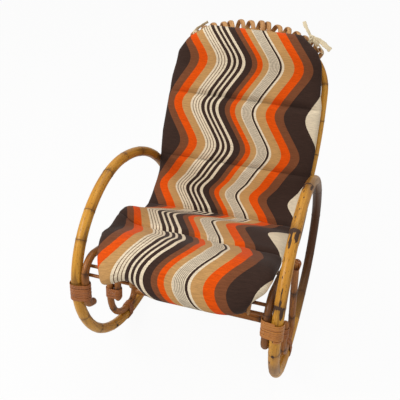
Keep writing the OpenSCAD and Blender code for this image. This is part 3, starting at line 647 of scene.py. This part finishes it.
pale_cane = cane_material("Pale cane", "cane_pale", (210, 162, 106), (174, 124, 74), (116, 78, 46),
                          0.7, 0.0, 0.42, 0.1)
coil_from = 2 * FLARE * leg_r + CORNER_R * COIL_FROM
coil_to = arch_line[-1, 0] - coil_from
gone = np.linspace(0, 1, COIL_TURNS * COIL_STEPS + 1)
unevenness = 0.10 * wave(gone, 3.3, 1) + 0.08 * wave(gone, 7.1)
turn = FULL_TURN * (COIL_TURNS * gone + unevenness) + math.pi / 2
s = coil_from + (coil_to - coil_from) * gone + COIL_LEAN * np.sin(turn) + 0.002 * wave(gone, 4.7)
across, up, heading = (np.interp(s, arch_line[:, 0], arch_line[:, k]) for k in (1, 2, 3))
coil_r = COIL_R + 0.0018 * wave(gone, 0.5) + 0.0009 * wave(gone, 5.3, 2)
outward = coil_r - COIL_CANE / 2 - RAIL_POLE / 2 - GAP + coil_r * np.cos(turn)
centres = in_back_plane(across - outward * np.sin(heading), up + outward * np.cos(heading),
                        coil_r * np.sin(turn))
radial = back_way(-np.cos(turn) * np.sin(heading), np.cos(turn) * np.cos(heading), np.sin(turn))
thickness = COIL_CANE / 2 * (1 + 0.05 * wave(gone, 9.7))
sweep("rim_coil_cane", centres, radial, COIL_FLAT * thickness, COIL_BROAD * thickness, pale_cane,
      ["rim_coil"], wave(gone, 2.3), 14)

# Cross bars and rods
# Under the cushion a grille of thin cane: bars across behind the rails and the arch, two
# rods across the front bend, six rods lengthwise, and a low stretcher between the supports.
BAR = 0.014
ROD = 0.010
STRETCHER = 0.026
BAR_OFF = -(RAIL_POLE + BAR) / 2 - GAP
ROD_OFF = BAR_OFF + (BAR + ROD) / 2 + GAP
ROD_PITCH = 0.084
ROD_HEADING = math.radians(84)
ROD_JOINT = 0.003
ROD_CLEAR = 0.006
BAR_PAST = 0.008
BAR_STEPS = 60
WIDEST = RAIL_X + BAR_PAST


def seat_at(s, off):
    """The point s along the seat's straight and off above its line."""
    return step_from(step_from(seat_start, -SEAT_FALL, s), math.pi / 2 - SEAT_FALL, off)


def crease_at(turn, off):
    """The point a turn into the crease's bend and off inside its line."""
    return step_from(crease_centre, turn - SEAT_FALL - math.pi / 2, CREASE_R - off)


def back_at(v, off):
    """The point v up the back and off in front of its plane."""
    return in_back_plane(0.0, v, off)[1:]


def arch_half(v):
    """Half the arch's width at the height v, on its leg or on its corner."""
    if v <= leg_run:
        return RAIL_X - leg_r * math.cos(FLARE) + math.sqrt(leg_r ** 2 - (v - leg_run / 2) ** 2)
    rise = v - leg_run + CORNER_R * math.sin(FLARE)
    return RAIL_X - CORNER_R * math.cos(FLARE) + math.sqrt(CORNER_R ** 2 - rise ** 2)


rod_r = FRONT_BEND_R - (RAIL_POLE + ROD) / 2 - GAP
crease_mid = (SEAT_FALL + BACK_LEAN) / 2
back_bars = [(name, back_at(v, BAR_OFF), arch_half(v) + BAR_PAST, BAR) for name, v in (
    ("back_bar_low", 0.090), ("back_bar_mid", 0.250), ("back_bar_top", ARCH_HEIGHT - 0.092))]
across_bars = [
    ("front_rod_lower", step_from(bend_centre, math.radians(168), rod_r), WIDEST, ROD),
    ("front_rod_upper", step_from(bend_centre, math.radians(122), rod_r), WIDEST, ROD),
    ("seat_bar_front", seat_at(0.185, BAR_OFF), WIDEST, BAR),
    ("seat_bar_rear", seat_at(0.330, BAR_OFF), WIDEST, BAR),
    ("crease_bar", crease_at(crease_mid, BAR_OFF), WIDEST, BAR),
    *back_bars,
    ("low_stretcher", state_after(u_turn, [(math.pi / 2, U_REAR_R)]), HOOP_HALF - 0.004, STRETCHER)]
for seed, (name, at, half, width) in enumerate(across_bars, 61):
    line = np.linspace(-half, half, BAR_STEPS)
    centres = np.stack([line, np.full(BAR_STEPS, at[0]), np.full(BAR_STEPS, at[1])], axis=1)
    normals = np.tile((0.0, 0.0, 1.0), (BAR_STEPS, 1))
    cane_pole(name, (line + half, centres, normals, np.array((0.0, -1.0, 0.0))), width,
              ring_places(2 * half, 0.08, 0.19, seed), brown_cane, seed, 16)
for i in range(6):
    x = (i - 2.5) * ROD_PITCH
    r = FRONT_BEND_R + ROD_OFF
    start = (*step_from(bend_centre, ROD_HEADING + math.pi / 2, r), ROD_HEADING)
    seat_rod = bent_line(start, [(-ROD_HEADING - SEAT_FALL, r), (0, SEAT_LENGTH),
                                 (crease_mid - ROD_JOINT, CREASE_R - ROD_OFF)])
    corner_room = abs(x) + (ROD + RAIL_POLE) / 2 + ROD_CLEAR - RAIL_X + CORNER_R * math.cos(FLARE)
    under_corner = leg_run - CORNER_R * math.sin(FLARE) + math.sqrt(CORNER_R ** 2 - corner_room ** 2)
    top = min(ARCH_HEIGHT - 0.062, under_corner)
    start = (*crease_at(crease_mid + ROD_JOINT, ROD_OFF), crease_mid + ROD_JOINT - SEAT_FALL)
    back_rod = bent_line(start, [(crease_mid - ROD_JOINT, CREASE_R - ROD_OFF), (0, foot_length + top)])
    for word, line, seed in (("seat", seat_rod, 70 + i), ("back", back_rod, 80 + i)):
        cane_pole("%s_rod_%d" % (word, i + 1), in_side_plane(line, x), ROD,
                  ring_places(line[-1, 0], 0.1, 0.2, seed), pale_cane, seed, 12)

# Bindings
# Wherever two poles meet they are lashed with flat strips of split cane, wound tightly
# round both. The strips are glossy outside and the turns lie side by side.
STRIP_HALF = 0.0011
ARC_STEPS = 40
TURN_STEPS = 48
STRIP_POWER = 0.55
FRONT_BIND_AT = 0.026
SPLICE_AT = 0.030
BACK_BIND_DOWN = 0.010
RIGHT_RAISED = 0.022
RUNNER_AT = math.radians(14.3)


def belt(ra, rb, reach, turns, pitch, opening):
    """One strip wound round two circles of radii ra and rb whose centres are reach apart.

    Each turn is the convex outline: an arc of each circle and the two straight flanks
    that touch both, at the angle whose sine is (ra - rb) / reach. Where the poles cross,
    opening is the angle between them, and a turn at distance d along their bisector
    reaches between centres that are 2 d tan(opening / 2) apart sideways. Returns the
    points (towards the second pole, aside, along) and their outward directions.
    """
    w = math.asin((ra - rb) / reach) if reach else 0.0
    a = np.linspace(math.pi / 2 - w, 1.5 * math.pi + w, ARC_STEPS)
    b = np.linspace(-math.pi / 2 + w, math.pi / 2 - w, ARC_STEPS)
    angle = np.unwrap(np.concatenate([a, b, [a[0] + FULL_TURN]]))
    x = np.concatenate([ra * np.cos(a), reach + rb * np.cos(b), [ra * math.cos(a[0])]])
    y = np.concatenate([ra * np.sin(a), rb * np.sin(b), [ra * math.sin(a[0])]])
    second = np.repeat((0.0, 1.0, 0.0), (ARC_STEPS, ARC_STEPS, 1))
    outline = gone_along(np.stack([x, y], axis=1))
    place = np.linspace(0, turns, int(turns * TURN_STEPS) + 1)
    along = (place - turns / 2) * pitch
    walk = (place % 1.0) * outline[-1]
    sideways = 2 * along * math.tan(opening / 2)
    slant = np.arctan2(sideways, reach if reach else 1.0)
    px = np.interp(walk, outline, x) + (np.hypot(reach, sideways) - reach) * np.interp(walk, outline, second)
    py = np.interp(walk, outline, y)
    pa = np.interp(walk, outline, angle) + slant
    points = np.stack([px * np.cos(slant) - py * np.sin(slant),
                       px * np.sin(slant) + py * np.cos(slant) - sideways / 2, along], axis=1)
    return points, np.stack([np.cos(pa), np.sin(pa), 0 * pa], axis=1)


def lash(node, centre, toward, along, radii, reach, turns, pitch, width, seed, skin, opening=0.0):
    """Winds a strip round two poles. centre is the first pole's, toward points to the second."""
    rng = np.random.default_rng(seed)
    points, out = belt(radii[0] + STRIP_HALF, radii[1] + STRIP_HALF, reach, turns, pitch, opening)
    toward = unit(np.array(toward))
    along = unit(np.array(along))
    axes = np.stack([toward, np.cross(along, toward), along])
    place = np.linspace(0, 1, len(points))
    points[:, 2] += sum(0.0004 * wave(place, k, FULL_TURN * rng.uniform()) for k in (2.3, 5.1, 9.7))
    points += out * (0.0003 * wave(place, turns * 0.5, FULL_TURN * rng.uniform()))[:, None]
    tones = np.interp(place * turns, np.arange(turns + 2), rng.uniform(-1, 1, turns + 2))
    sweep(node + "_strip", np.array(centre) + points @ axes, out @ axes, STRIP_HALF, width / 2, skin, [node],
          tones, power=STRIP_POWER)


def side_way(heading):
    """The direction of a heading in the side plane."""
    return np.array((0.0, math.cos(heading), math.sin(heading)))


honey_strip = cane_material("Honey strip", "binding", (206, 140, 66), (172, 104, 46), (110, 60, 28),
                            0.9, 0.0, 0.30, 0.3, 0.0003)
brown_strip = cane_material("Brown strip", "binding", (182, 112, 56), (146, 84, 40), (84, 46, 24),
                            0.9, 0.0, 0.36, 0.3, 0.0003)
bind_line = bent_line(rail_start, rail_moves[:3])
splice = step_from(post_low, post_heading, SPLICE_AT)
runner_place = (-RUNNER_R * math.sin(RUNNER_AT), HOOP_POLE / 2 + RUNNER_R * (1 - math.cos(RUNNER_AT)))
meet = step_from(u_rise, U_REAR, u_meet)
bisector = (U_REAR + math.pi - SEAT_FALL) / 2
hoop_half = HOOP_POLE / 2
rail_half = RAIL_POLE / 2
for word, side, seed, raised, front_skin in (("left", -1, 91, 0.0, brown_strip),
                                             ("right", 1, 96, RIGHT_RAISED, honey_strip)):
    inward = (-side, 0, 0)
    bind_s = CURL_END + CURL_TURN * CURL_R + FRONT_BIND_AT + raised
    at = bind_line[np.argmin(np.abs(bind_line[:, 0] - bind_s))]
    hoop_y = np.min(np.where(np.abs(hoop_line[:, 2] - at[2]) < 0.002, hoop_line[:, 1], 9.0))
    x = side * HOOP_HALF
    between = (x, (at[1] + hoop_y) / 2, at[2])
    lash("front_binding_" + word, between, inward, side_way(at[3] - math.radians(1)),
         (hoop_half + 0.0022, rail_half + 0.0022), TOUCH, 9, 0.0062, 0.0058, seed, front_skin)
    lash("splice_binding_" + word, (x, *splice), inward, side_way(post_heading),
         (rail_half + 0.0007, rail_half + 0.0007), TOUCH, 9, 0.0041, 0.0038, seed + 1, brown_strip)
    lash("runner_binding_" + word, (x, *runner_place), side_way(math.pi / 2 - RUNNER_AT),
         side_way(-RUNNER_AT), (hoop_half + 0.0007, rail_half + 0.0007), TOUCH, 6, 0.0052, 0.0049, seed + 2,
         brown_strip)
    lash("leg_binding_" + word, (x, *meet), inward, side_way(bisector),
         (rail_half + 0.0010, rail_half + 0.0010), TOUCH, 6, 0.0056, 0.0053, seed + 3, brown_strip,
         side * (U_REAR + SEAT_FALL - math.pi))
    back_place = np.array((side * RAIL_X, *foot)) - BACK_BIND_DOWN * side_way(BACK_LEAN)
    lash("back_binding_" + word, back_place, (1, 0, 0), side_way(BACK_LEAN),
         (rail_half + 0.0009, rail_half + 0.0009), 0.0, 11, 0.0054, 0.0051, seed + 4, brown_strip)

# Cushion
# A long foam pad in a woven cotton cover, sewn through in rows so that it folds at the
# seat and the back. It is printed with wavy stripes that run lengthwise, and the rows
# were cut and sewn together, so the stripes step a little at each seam.
SEAT_THICK = 0.066
BACK_THICK = 0.060
WRAP = math.radians(97)
SEAMS = (0.2445, 0.5595, 0.7850, 1.0075)
SEAM_DEPTHS = (0.34, 0.34, 0.16, 0.26)
ROWS = 420
SIDES = 132
HALF = SIDES // 2
SECTION_X = 0.262
SECTION_Z = 0.030
FLANK_POWER = 0.36
FACE_POWER = 0.80
END_INSET = 0.003
EDGE_SOFTNESS = 0.012
PRINT_SHIFT = 0.356

# An edge is the distance from the front and the half width there. A wave is, for each panel,
# how soft its stripes' turns are and where they turn, lengthwise and sideways.
LEFT_EDGE = ((0.000, 0.192), (0.024, 0.201), (0.100, 0.244), (0.130, 0.258), (0.255, 0.273), (0.640, 0.274),
             (0.722, 0.268), (0.864, 0.275), (1.056, 0.266), (1.143, 0.250), (1.192, 0.216), (1.242, 0.150))
RIGHT_EDGE = ((0.000, 0.203), (0.030, 0.222), (0.060, 0.252), (0.090, 0.261), (0.300, 0.254), (0.500, 0.256),
              (0.850, 0.268), (1.015, 0.265), (1.056, 0.254), (1.150, 0.244), (1.190, 0.224), (1.242, 0.159))
WAVES = (
    (0.022, ((0.000, 0.116), (0.036, 0.050), (0.056, 0.044), (0.098, 0.102), (0.160, 0.108), (0.200, 0.096),
             (0.300, 0.040))),
    (0.035, ((0.200, 0.095), (0.244, 0.072), (0.370, 0.002), (0.555, 0.098), (0.620, 0.124))),
    (0.048, ((0.500, 0.114), (0.560, 0.080), (0.660, 0.021), (0.790, 0.091), (0.836, 0.118))),
    (0.055, ((0.700, 0.038), (0.784, 0.088), (0.836, 0.126), (0.968, 0.030), (1.130, 0.124))),
    (0.055, ((0.900, -0.002), (0.968, 0.028), (1.128, 0.124), (1.250, 0.022), (1.300, -0.016))),
)


def ease(q):
    """A smooth step from 0 to 1: three q squared less two q cubed."""
    q = np.clip(q, 0.0, 1.0)
    return q * q * (3 - 2 * q)


pad_off = ROD_OFF + ROD / 2 + 0.0006
rail_off = RAIL_POLE / 2 + 0.0025
rim_off = COIL_R + COIL_CANE / 2 + 0.0015
front_r = FRONT_BEND_R + rail_off
inner_crease = CREASE_R - pad_off
to_seat = WRAP * front_r
to_crease = to_seat + SEAT_LENGTH
to_back = to_crease + (SEAT_FALL + BACK_LEAN) * inner_crease
pad_length = to_back + foot_length + ARCH_HEIGHT + 0.004


def cushion_path(t):
    """Where the cushion's underside lies and its way up, at a distance t from its front edge.

    It is off from a line, in the way up: round the front bend, off the seat, inside the
    crease and off the back.
    """
    a = math.pi / 2 - SEAT_FALL + WRAP - t / front_r
    h = (t - to_crease) / inner_crease - SEAT_FALL
    v = t - to_back - foot_length
    seat_off = rail_off + (pad_off - rail_off) * ease((t - to_seat) / 0.120)
    back_off = pad_off + (rim_off - pad_off) * ease((v - ARCH_HEIGHT + 0.150) / 0.105)
    seat = seat_at(t - to_seat, 0)
    which = [t < to_seat, t < to_crease, t < to_back]
    off = np.select(which, [front_r, seat_off, -inner_crease], back_off)
    way_y = np.select(which, [np.cos(a), math.sin(SEAT_FALL), -np.sin(h)], -lean[1])
    way_z = np.select(which, [np.sin(a), math.cos(SEAT_FALL), np.cos(h)], lean[0])
    line_y = np.select(which, [bend_centre[0], seat[0], crease_centre[0]], foot[0] + v * lean[0])
    line_z = np.select(which, [bend_centre[1], seat[1], crease_centre[1]], foot[1] + v * lean[1])
    return line_y + off * way_y, line_z + off * way_z, way_y, way_z


def running_mean(read, s, softness, count):
    """The mean of what read gives round each place s, weighted by one plus the cosine."""
    spread = np.linspace(-1, 1, count)
    weight = 1 + np.cos(math.pi * spread)
    return sum(w * read(s + d * softness) for w, d in zip(weight, spread)) / weight.sum()


def turning_line(t, corners, softness):
    """A zigzag through corners (t, x) with its turns rounded by a running mean."""
    knots = np.array(corners)
    first = knots[0] + (knots[0] - knots[1]) * 0.2 / (knots[1, 0] - knots[0, 0])
    last = knots[-1] + (knots[-1] - knots[-2]) * 0.2 / (knots[-1, 0] - knots[-2, 0])
    knots = np.concatenate([[first], knots, [last]])
    return running_mean(lambda at: np.interp(at, knots[:, 0], knots[:, 1]), t, softness, 25)


t_row = np.linspace(END_INSET, pad_length - END_INSET, ROWS)
t = t_row[:, None]
angle = np.linspace(0, FULL_TURN, 4001)
section = (SECTION_X * powered(np.cos(angle), FLANK_POWER), SECTION_Z * powered(np.sin(angle), FACE_POWER))
outline = gone_along(np.stack(section, axis=1))
a = np.interp(np.linspace(0, outline[-1], SIDES, endpoint=False), outline, angle)
profile_x = powered(np.cos(a), FLANK_POWER)
profile_z = powered(np.sin(a), FACE_POWER)
upper = np.clip(profile_z, 0, 1)
half_width = np.where(profile_x < 0, turning_line(t, LEFT_EDGE, EDGE_SOFTNESS),
                      turning_line(t, RIGHT_EDGE, EDGE_SOFTNESS))

# The sewn rows pull the pad in, less so at its left edge.
dips = sum(depth * bell(t, at, 0.0105, 1.5) for at, depth in zip(SEAMS, SEAM_DEPTHS))
lateral = half_width * profile_x * (1 - 0.012 * dips)
dips = dips * (1 - 0.65 * bell(lateral, -0.275, 0.055))

# Rows lie further back where the front edge is drawn in, and at both sides of the first seam.
front_lift = 0.024 * bell(lateral, -0.122, 0.050) + 0.016 * bell(lateral, 0.23, 0.05)
lifted = t + front_lift * bell(t, 0, 0.045)
tilt = 0.034 * bell(lateral, -0.285, 0.070) + 0.030 * bell(lateral, 0.275, 0.060)
place = lifted + tilt * bell(t, SEAMS[0], 0.10) + 0.035 * lateral * bell(t, SEAMS[1], 0.08)
place = np.clip(place, 0.002, pad_length - 0.002)

# The pad is thinner at both ends and in the crease, fuller before it, and rounded at its ends.
thick = SEAT_THICK - (SEAT_THICK - BACK_THICK) * ease((t - to_crease) / 0.2)
thick -= 0.014 * ease((0.09 - t) / 0.09) + 0.020 * ease((t - pad_length + 0.15) / 0.15)
thick += 0.010 * bell(t, 0.375, 0.075) - 0.018 * bell(t, to_crease + 0.060, 0.09)
blunt = rounded(np.minimum(t, pad_length - t), 0.024, 0.02)
rng = np.random.default_rng(7)
ripple = np.zeros_like(place)
for k in range(14):
    wave_x = rng.uniform(14, 60)
    wave_t = rng.uniform(-9, 9)
    ripple += np.sin(wave_x * lateral + wave_t * t + rng.uniform(0, 6.28)) * rng.uniform(0.3, 1.0) / 14
pucker = sum(bell(t, at, 0.030, 1) for at in SEAMS)
soft = thick * blunt * (1 - dips * upper) + (0.0035 * pucker + 0.0030) * ripple * 2 * upper

# The pad's left side stands higher where the seat ends.
prop_length = np.where(place < 0.312, 0.100, 0.060)
propped = 0.036 * bell(place, 0.312, prop_length) * bell(lateral, -0.280, 0.075)
rise = soft / 2 * (1 + profile_z) + propped
base_y, base_z, up_y, up_z = cushion_path(place)
points = np.stack([lateral, base_y + up_y * rise, base_z + up_z * rise], axis=-1)

# Quads run round the pad, and a strip of quads with a triangle at each side closes each end.
ii, jj = np.meshgrid(np.arange(ROWS - 1), np.arange(SIDES), indexing="ij")
j2 = (jj + 1) % SIDES
quads = np.stack([ii * SIDES + jj, (ii + 1) * SIDES + jj, (ii + 1) * SIDES + j2, ii * SIDES + j2], axis=-1)
last = (ROWS - 1) * SIDES
faces = quads.reshape(-1, 4).tolist()
faces += [(k, k + 1, SIDES - k - 1, SIDES - k) for k in range(1, HALF - 1)]
faces += [(last + k + 1, last + k, last + SIDES - k, last + SIDES - k - 1) for k in range(1, HALF - 1)]
faces += [(0, 1, SIDES - 1), (HALF + 1, HALF - 1, HALF)]
faces += [(last + 1, last, last + SIDES - 1), (last + HALF - 1, last + HALF + 1, last + HALF)]
end_corners = 8 * (HALF - 2) + 12

# The weave map is the distance round the cloth from its middle and the distance along. The
# print map adds the stripes' sideways turns, panel by panel, and leans at the front corner.
steps = np.linalg.norm(np.diff(points, axis=1, append=points[:, :1]), axis=2)
middle = int(np.argmin(np.abs(a - math.pi / 2)))
walked = np.cumsum(np.concatenate([np.zeros((ROWS, 1)), steps], axis=1), axis=1)
width_at = walked[:, middle:middle + 1] - walked
round_it = walked[:, -1:]
width_at = np.where(width_at < -round_it / 2, width_at + round_it, width_at)
panel = np.digitize(0.5 * (t_row[:-1] + t_row[1:]), SEAMS)
drawn = lifted + (0.006 + 0.024 * bell(lateral, -0.200, 0.100)) * bell(t, 0, 0.100)
offset = np.stack([np.interp(drawn, t_row, turning_line(t_row, corners, softness))
                   for softness, corners in WAVES])
print_corners = []
weave_corners = []
for di, dj in ((0, 0), (1, 0), (1, 1), (0, 1)):
    i = ii + di
    j = jj + dj
    past = np.maximum(t_row[i] - 0.040, 0)
    at_corner = 0.024 * bell(points[i, j % SIDES, 0], -0.225, 0.050) * bell(past, 0, 0.034)
    u = width_at[i, j] + points[i, middle, 0] - offset[panel[ii], i, j % SIDES] + PRINT_SHIFT + at_corner
    print_corners.append(np.stack([u, t_row[i]], axis=-1))
    weave_corners.append(np.stack([width_at[i, j], t_row[i]], axis=-1))
print_uv = np.concatenate([np.stack(print_corners, axis=2).reshape(-1, 2), np.full((end_corners, 2), 0.150)])
weave_uv = np.concatenate([np.stack(weave_corners, axis=2).reshape(-1, 2), np.zeros((end_corners, 2))])
under = ease((-profile_z - 0.05) / 0.25) * np.ones((ROWS, 1))
# Painted shade: a narrow band on the upper face along each seam, where the sewn groove lies in shade.
seam_shade = sum(bell(t, at, 0.0025) for at in SEAMS) * upper
cover, tree = bare_material("Striped cotton")
cushion = put_mesh("cushion_pad", points, faces, (cover, "cushion_cloth"), ["cushion"],
                   {"print": print_uv, "weave": weave_uv}, {"under": under, "seam": seam_shade})

# The stripes from left to right, with their widths in millimetres. The fine lines, a grey
# band of a 4.7 mm repeat, lie in one of the cream stripes.
CHARCOAL = paint(57, 40, 33)
BROWN = paint(118, 69, 42)
ORANGE = paint(217, 77, 0)
TAN = paint(186, 141, 87)
CREAM = paint(222, 205, 177)
HAIR = paint(100, 70, 48)
UNDER_CREAM = paint(218, 200, 170)
LINE_GREY = paint(134, 122, 108)
STRIPES = ((44, CHARCOAL), (30, BROWN), (30, ORANGE), (33, TAN), (7.6, CREAM), (2.1, HAIR), (7.5, CREAM),
           (2.1, HAIR), (7.5, CREAM), (2.1, HAIR), (8.7, CREAM), (14, CHARCOAL), (7, CREAM), (11, CHARCOAL),
           (8, CREAM), (11, CHARCOAL), (10, CREAM), (23, CHARCOAL), (19.4, BROWN), (19, ORANGE), (20, TAN),
           (35, CREAM), (8, CHARCOAL), (7.3, CREAM), (34, TAN), (30, ORANGE), (31, BROWN),
           (72, CHARCOAL), (70, CREAM))
PRINT_FROM = -0.020
PRINT_TO = 0.640
LINE_PITCH = 0.0047
LINES_AT = 0.3365
LINES_HALF = 0.0150
WOBBLE = 0.0012
WOBBLE_SCALE = 420


def scaled(tree, place, x, y, z=1):
    """A place on the cloth, times x, y and z."""
    return add(tree, "Mapping", {"Vector": place, "Scale": (x, y, z)}).outputs[0]


weave_map = add(tree, "UVMap", uv_map="weave").outputs[0]
print_map = add(tree, "UVMap", uv_map="print").outputs[0]
across_cloth = add(tree, "SeparateXYZ", {0: print_map}).outputs[0]
wobble = noise(tree, scaled(tree, weave_map, WOBBLE_SCALE, WOBBLE_SCALE), 1.0)
wobbled = sums(tree, "MULTIPLY_ADD", wobble, WOBBLE, across_cloth)
centred = sums(tree, "SUBTRACT", wobbled, WOBBLE / 2)
ramp = add(tree, "ValToRGB", {0: span(tree, centred, PRINT_FROM, PRINT_TO, kind="LINEAR")})
ramp.color_ramp.interpolation = "CONSTANT"
stops = ramp.color_ramp.elements
position = 0.0
for index, (width, colour) in enumerate(STRIPES):
    share = (position / 1000 - PRINT_FROM) / (PRINT_TO - PRINT_FROM) if index else 0.0
    stop = stops[index] if index < 2 else stops.new(share)
    stop.position = share
    stop.color = colour
    position += width
lines = sums(tree, "SINE", sums(tree, "MULTIPLY", across_cloth, FULL_TURN / LINE_PITCH))
inside = sums(tree, "COMPARE", wobbled, LINES_AT, LINES_HALF)
lines = sums(tree, "MULTIPLY", span(tree, lines, -0.35, 0.55, kind="LINEAR"), inside)
lined = blend(tree, lines, ramp.outputs[0], LINE_GREY)
backed = blend(tree, mark(tree, "under"), lined, UNDER_CREAM)
slub = noise(tree, scaled(tree, weave_map, 34, 400), 2.0, 0.7)
thread = noise(tree, scaled(tree, weave_map, 900, 300), 1.0)
shade = sums(tree, "MULTIPLY", span(tree, slub, 0.28, 0.72, 0.77, 1.15, "LINEAR"),
             span(tree, thread, 0.25, 0.75, 0.90, 1.08, "LINEAR"))
# Painted shade: the cloth is darkened down to 0.55 times along the seams' grooves.
shade = sums(tree, "MULTIPLY", shade, span(tree, mark(tree, "seam"), 0.10, 1.0, 1.0, 0.55, "LINEAR"))
cloth = blend(tree, 1.0, backed, shade, "MULTIPLY")
surface(tree, cloth, sums(tree, "ADD", slub, thread), 0.0006, 0.7, {
    "Roughness": 0.86, "Sheen Weight": 0.05, "Sheen Roughness": 0.5, "Specular IOR Level": 0.12})

# Ties
# Two short cotton tapes, sewn to the cushion's upper corners, are knotted round the wound
# rim to hold the back up. Their ends stick up, a little crumpled.
TAPE_HALF = 0.0008
TAPE_POWER = 0.5
BAND_HALF = 0.0065
BAND_R = COIL_R + COIL_CANE / 2 + 0.0012
KNOT_R = 0.0055

material, tree = bare_material("Cotton tape")
weave = noise(tree, scaled(tree, add(tree, "UVMap", uv_map="skin").outputs[0], 900, 14), 2.0)
tint = blend(tree, weave, paint(190, 172, 138), paint(232, 218, 188))
surface(tree, tint, weave, 0.0004, 0.6, {"Roughness": 0.8, "Specular IOR Level": 0.2})
tape = (material, "tape")
corner_up = leg_run - CORNER_R * math.sin(FLARE)
corner_across = RAIL_X - CORNER_R * math.cos(FLARE)
rim_r = CORNER_R + COIL_R - COIL_CANE / 2 - RAIL_POLE / 2
around = np.linspace(0, FULL_TURN, 73)
for word, side, degrees in (("left", -1, 55), ("right", 1, 61)):
    aim = math.radians(degrees)
    band_r = rim_r + BAND_R * np.cos(around)
    centres = in_back_plane(side * (corner_across + band_r * math.cos(aim)),
                            corner_up + band_r * math.sin(aim), BAND_R * np.sin(around))
    hub = in_back_plane(side * (corner_across + rim_r * math.cos(aim)), corner_up + rim_r * math.sin(aim))
    sweep("tie_%s_band" % word, centres, centres - hub, TAPE_HALF, BAND_HALF, tape, ["tie_" + word], 0.0,
          power=TAPE_POWER)


def ribbon(name, wide, twist, stops):
    """A tape through stops (across, up and off the back's plane), in mm, turned by twist on the way."""
    stops = np.array(stops, dtype=float) / 1000
    gone = gone_along(stops)
    s = np.linspace(0, gone[-1], max(24, int(gone[-1] / 0.0015)))
    line = running_mean(lambda at: read_along(at, gone, stops), s, 0.006, 15)
    centres = in_back_plane(line[:, 0], line[:, 1], line[:, 2])
    along = unit(np.gradient(centres, axis=0))
    side = unit(np.cross(along, FORWARD))
    turn = np.interp(s / s[-1], np.linspace(0, 1, len(twist)), twist)[:, None]
    outward = np.cross(side, along) * np.cos(turn) + side * np.sin(turn)
    width = wide / 2000 * (1 + 0.10 * np.sin(s * 260) + 0.05 * np.sin(s * 610))
    sweep(name, centres, outward, TAPE_HALF, width, tape, (), 0.0, power=TAPE_POWER)


ribbon("tie_left_tail", 12, (0.3, 0.9, 1.2, 1.0),
       ((-196, 440, 34), (-206, 452, 36), (-196, 468, 34), (-182, 480, 30), (-165, 494, 26)))
ribbon("tie_left_end", 12, (0.0, 0.6, 0.4),
       ((-200, 450, 36), (-206, 440, 38), (-208, 428, 38), (-206, 416, 36)))
ribbon("tie_right_tail", 13, (0.2, 0.9, 0.6, 0.2),
       ((196, 470, 32), (190, 482, 34), (180, 496, 34), (168, 512, 30), (160, 528, 26)))
ribbon("tie_right_end", 16, (0.0, 0.5, -0.3, -0.2),
       ((190, 478, 34), (208, 474, 38), (230, 466, 40), (250, 452, 38), (262, 444, 34)))
ribbon("tie_right_loop", 12, (0.4, 1.2, 1.6, 2.4),
       ((194, 476, 34), (214, 462, 42), (232, 446, 40), (240, 432, 34), (228, 434, 26), (212, 452, 26),
        (198, 470, 30)))
turn = np.linspace(0, FULL_TURN, 40)
knot = KNOT_R * (np.multiply.outer(np.cos(turn), (0.8, 0.0, 0.3)) + np.multiply.outer(np.sin(turn), UP_BACK))
for word, place in (("left", (-0.202, 0.450, 0.036)), ("right", (0.193, 0.477, 0.036))):
    sweep("tie_%s_knot" % word, in_back_plane(*place) + knot, knot, 0.0035, 0.0060, tape, (), 0.0, 14, 0.8)
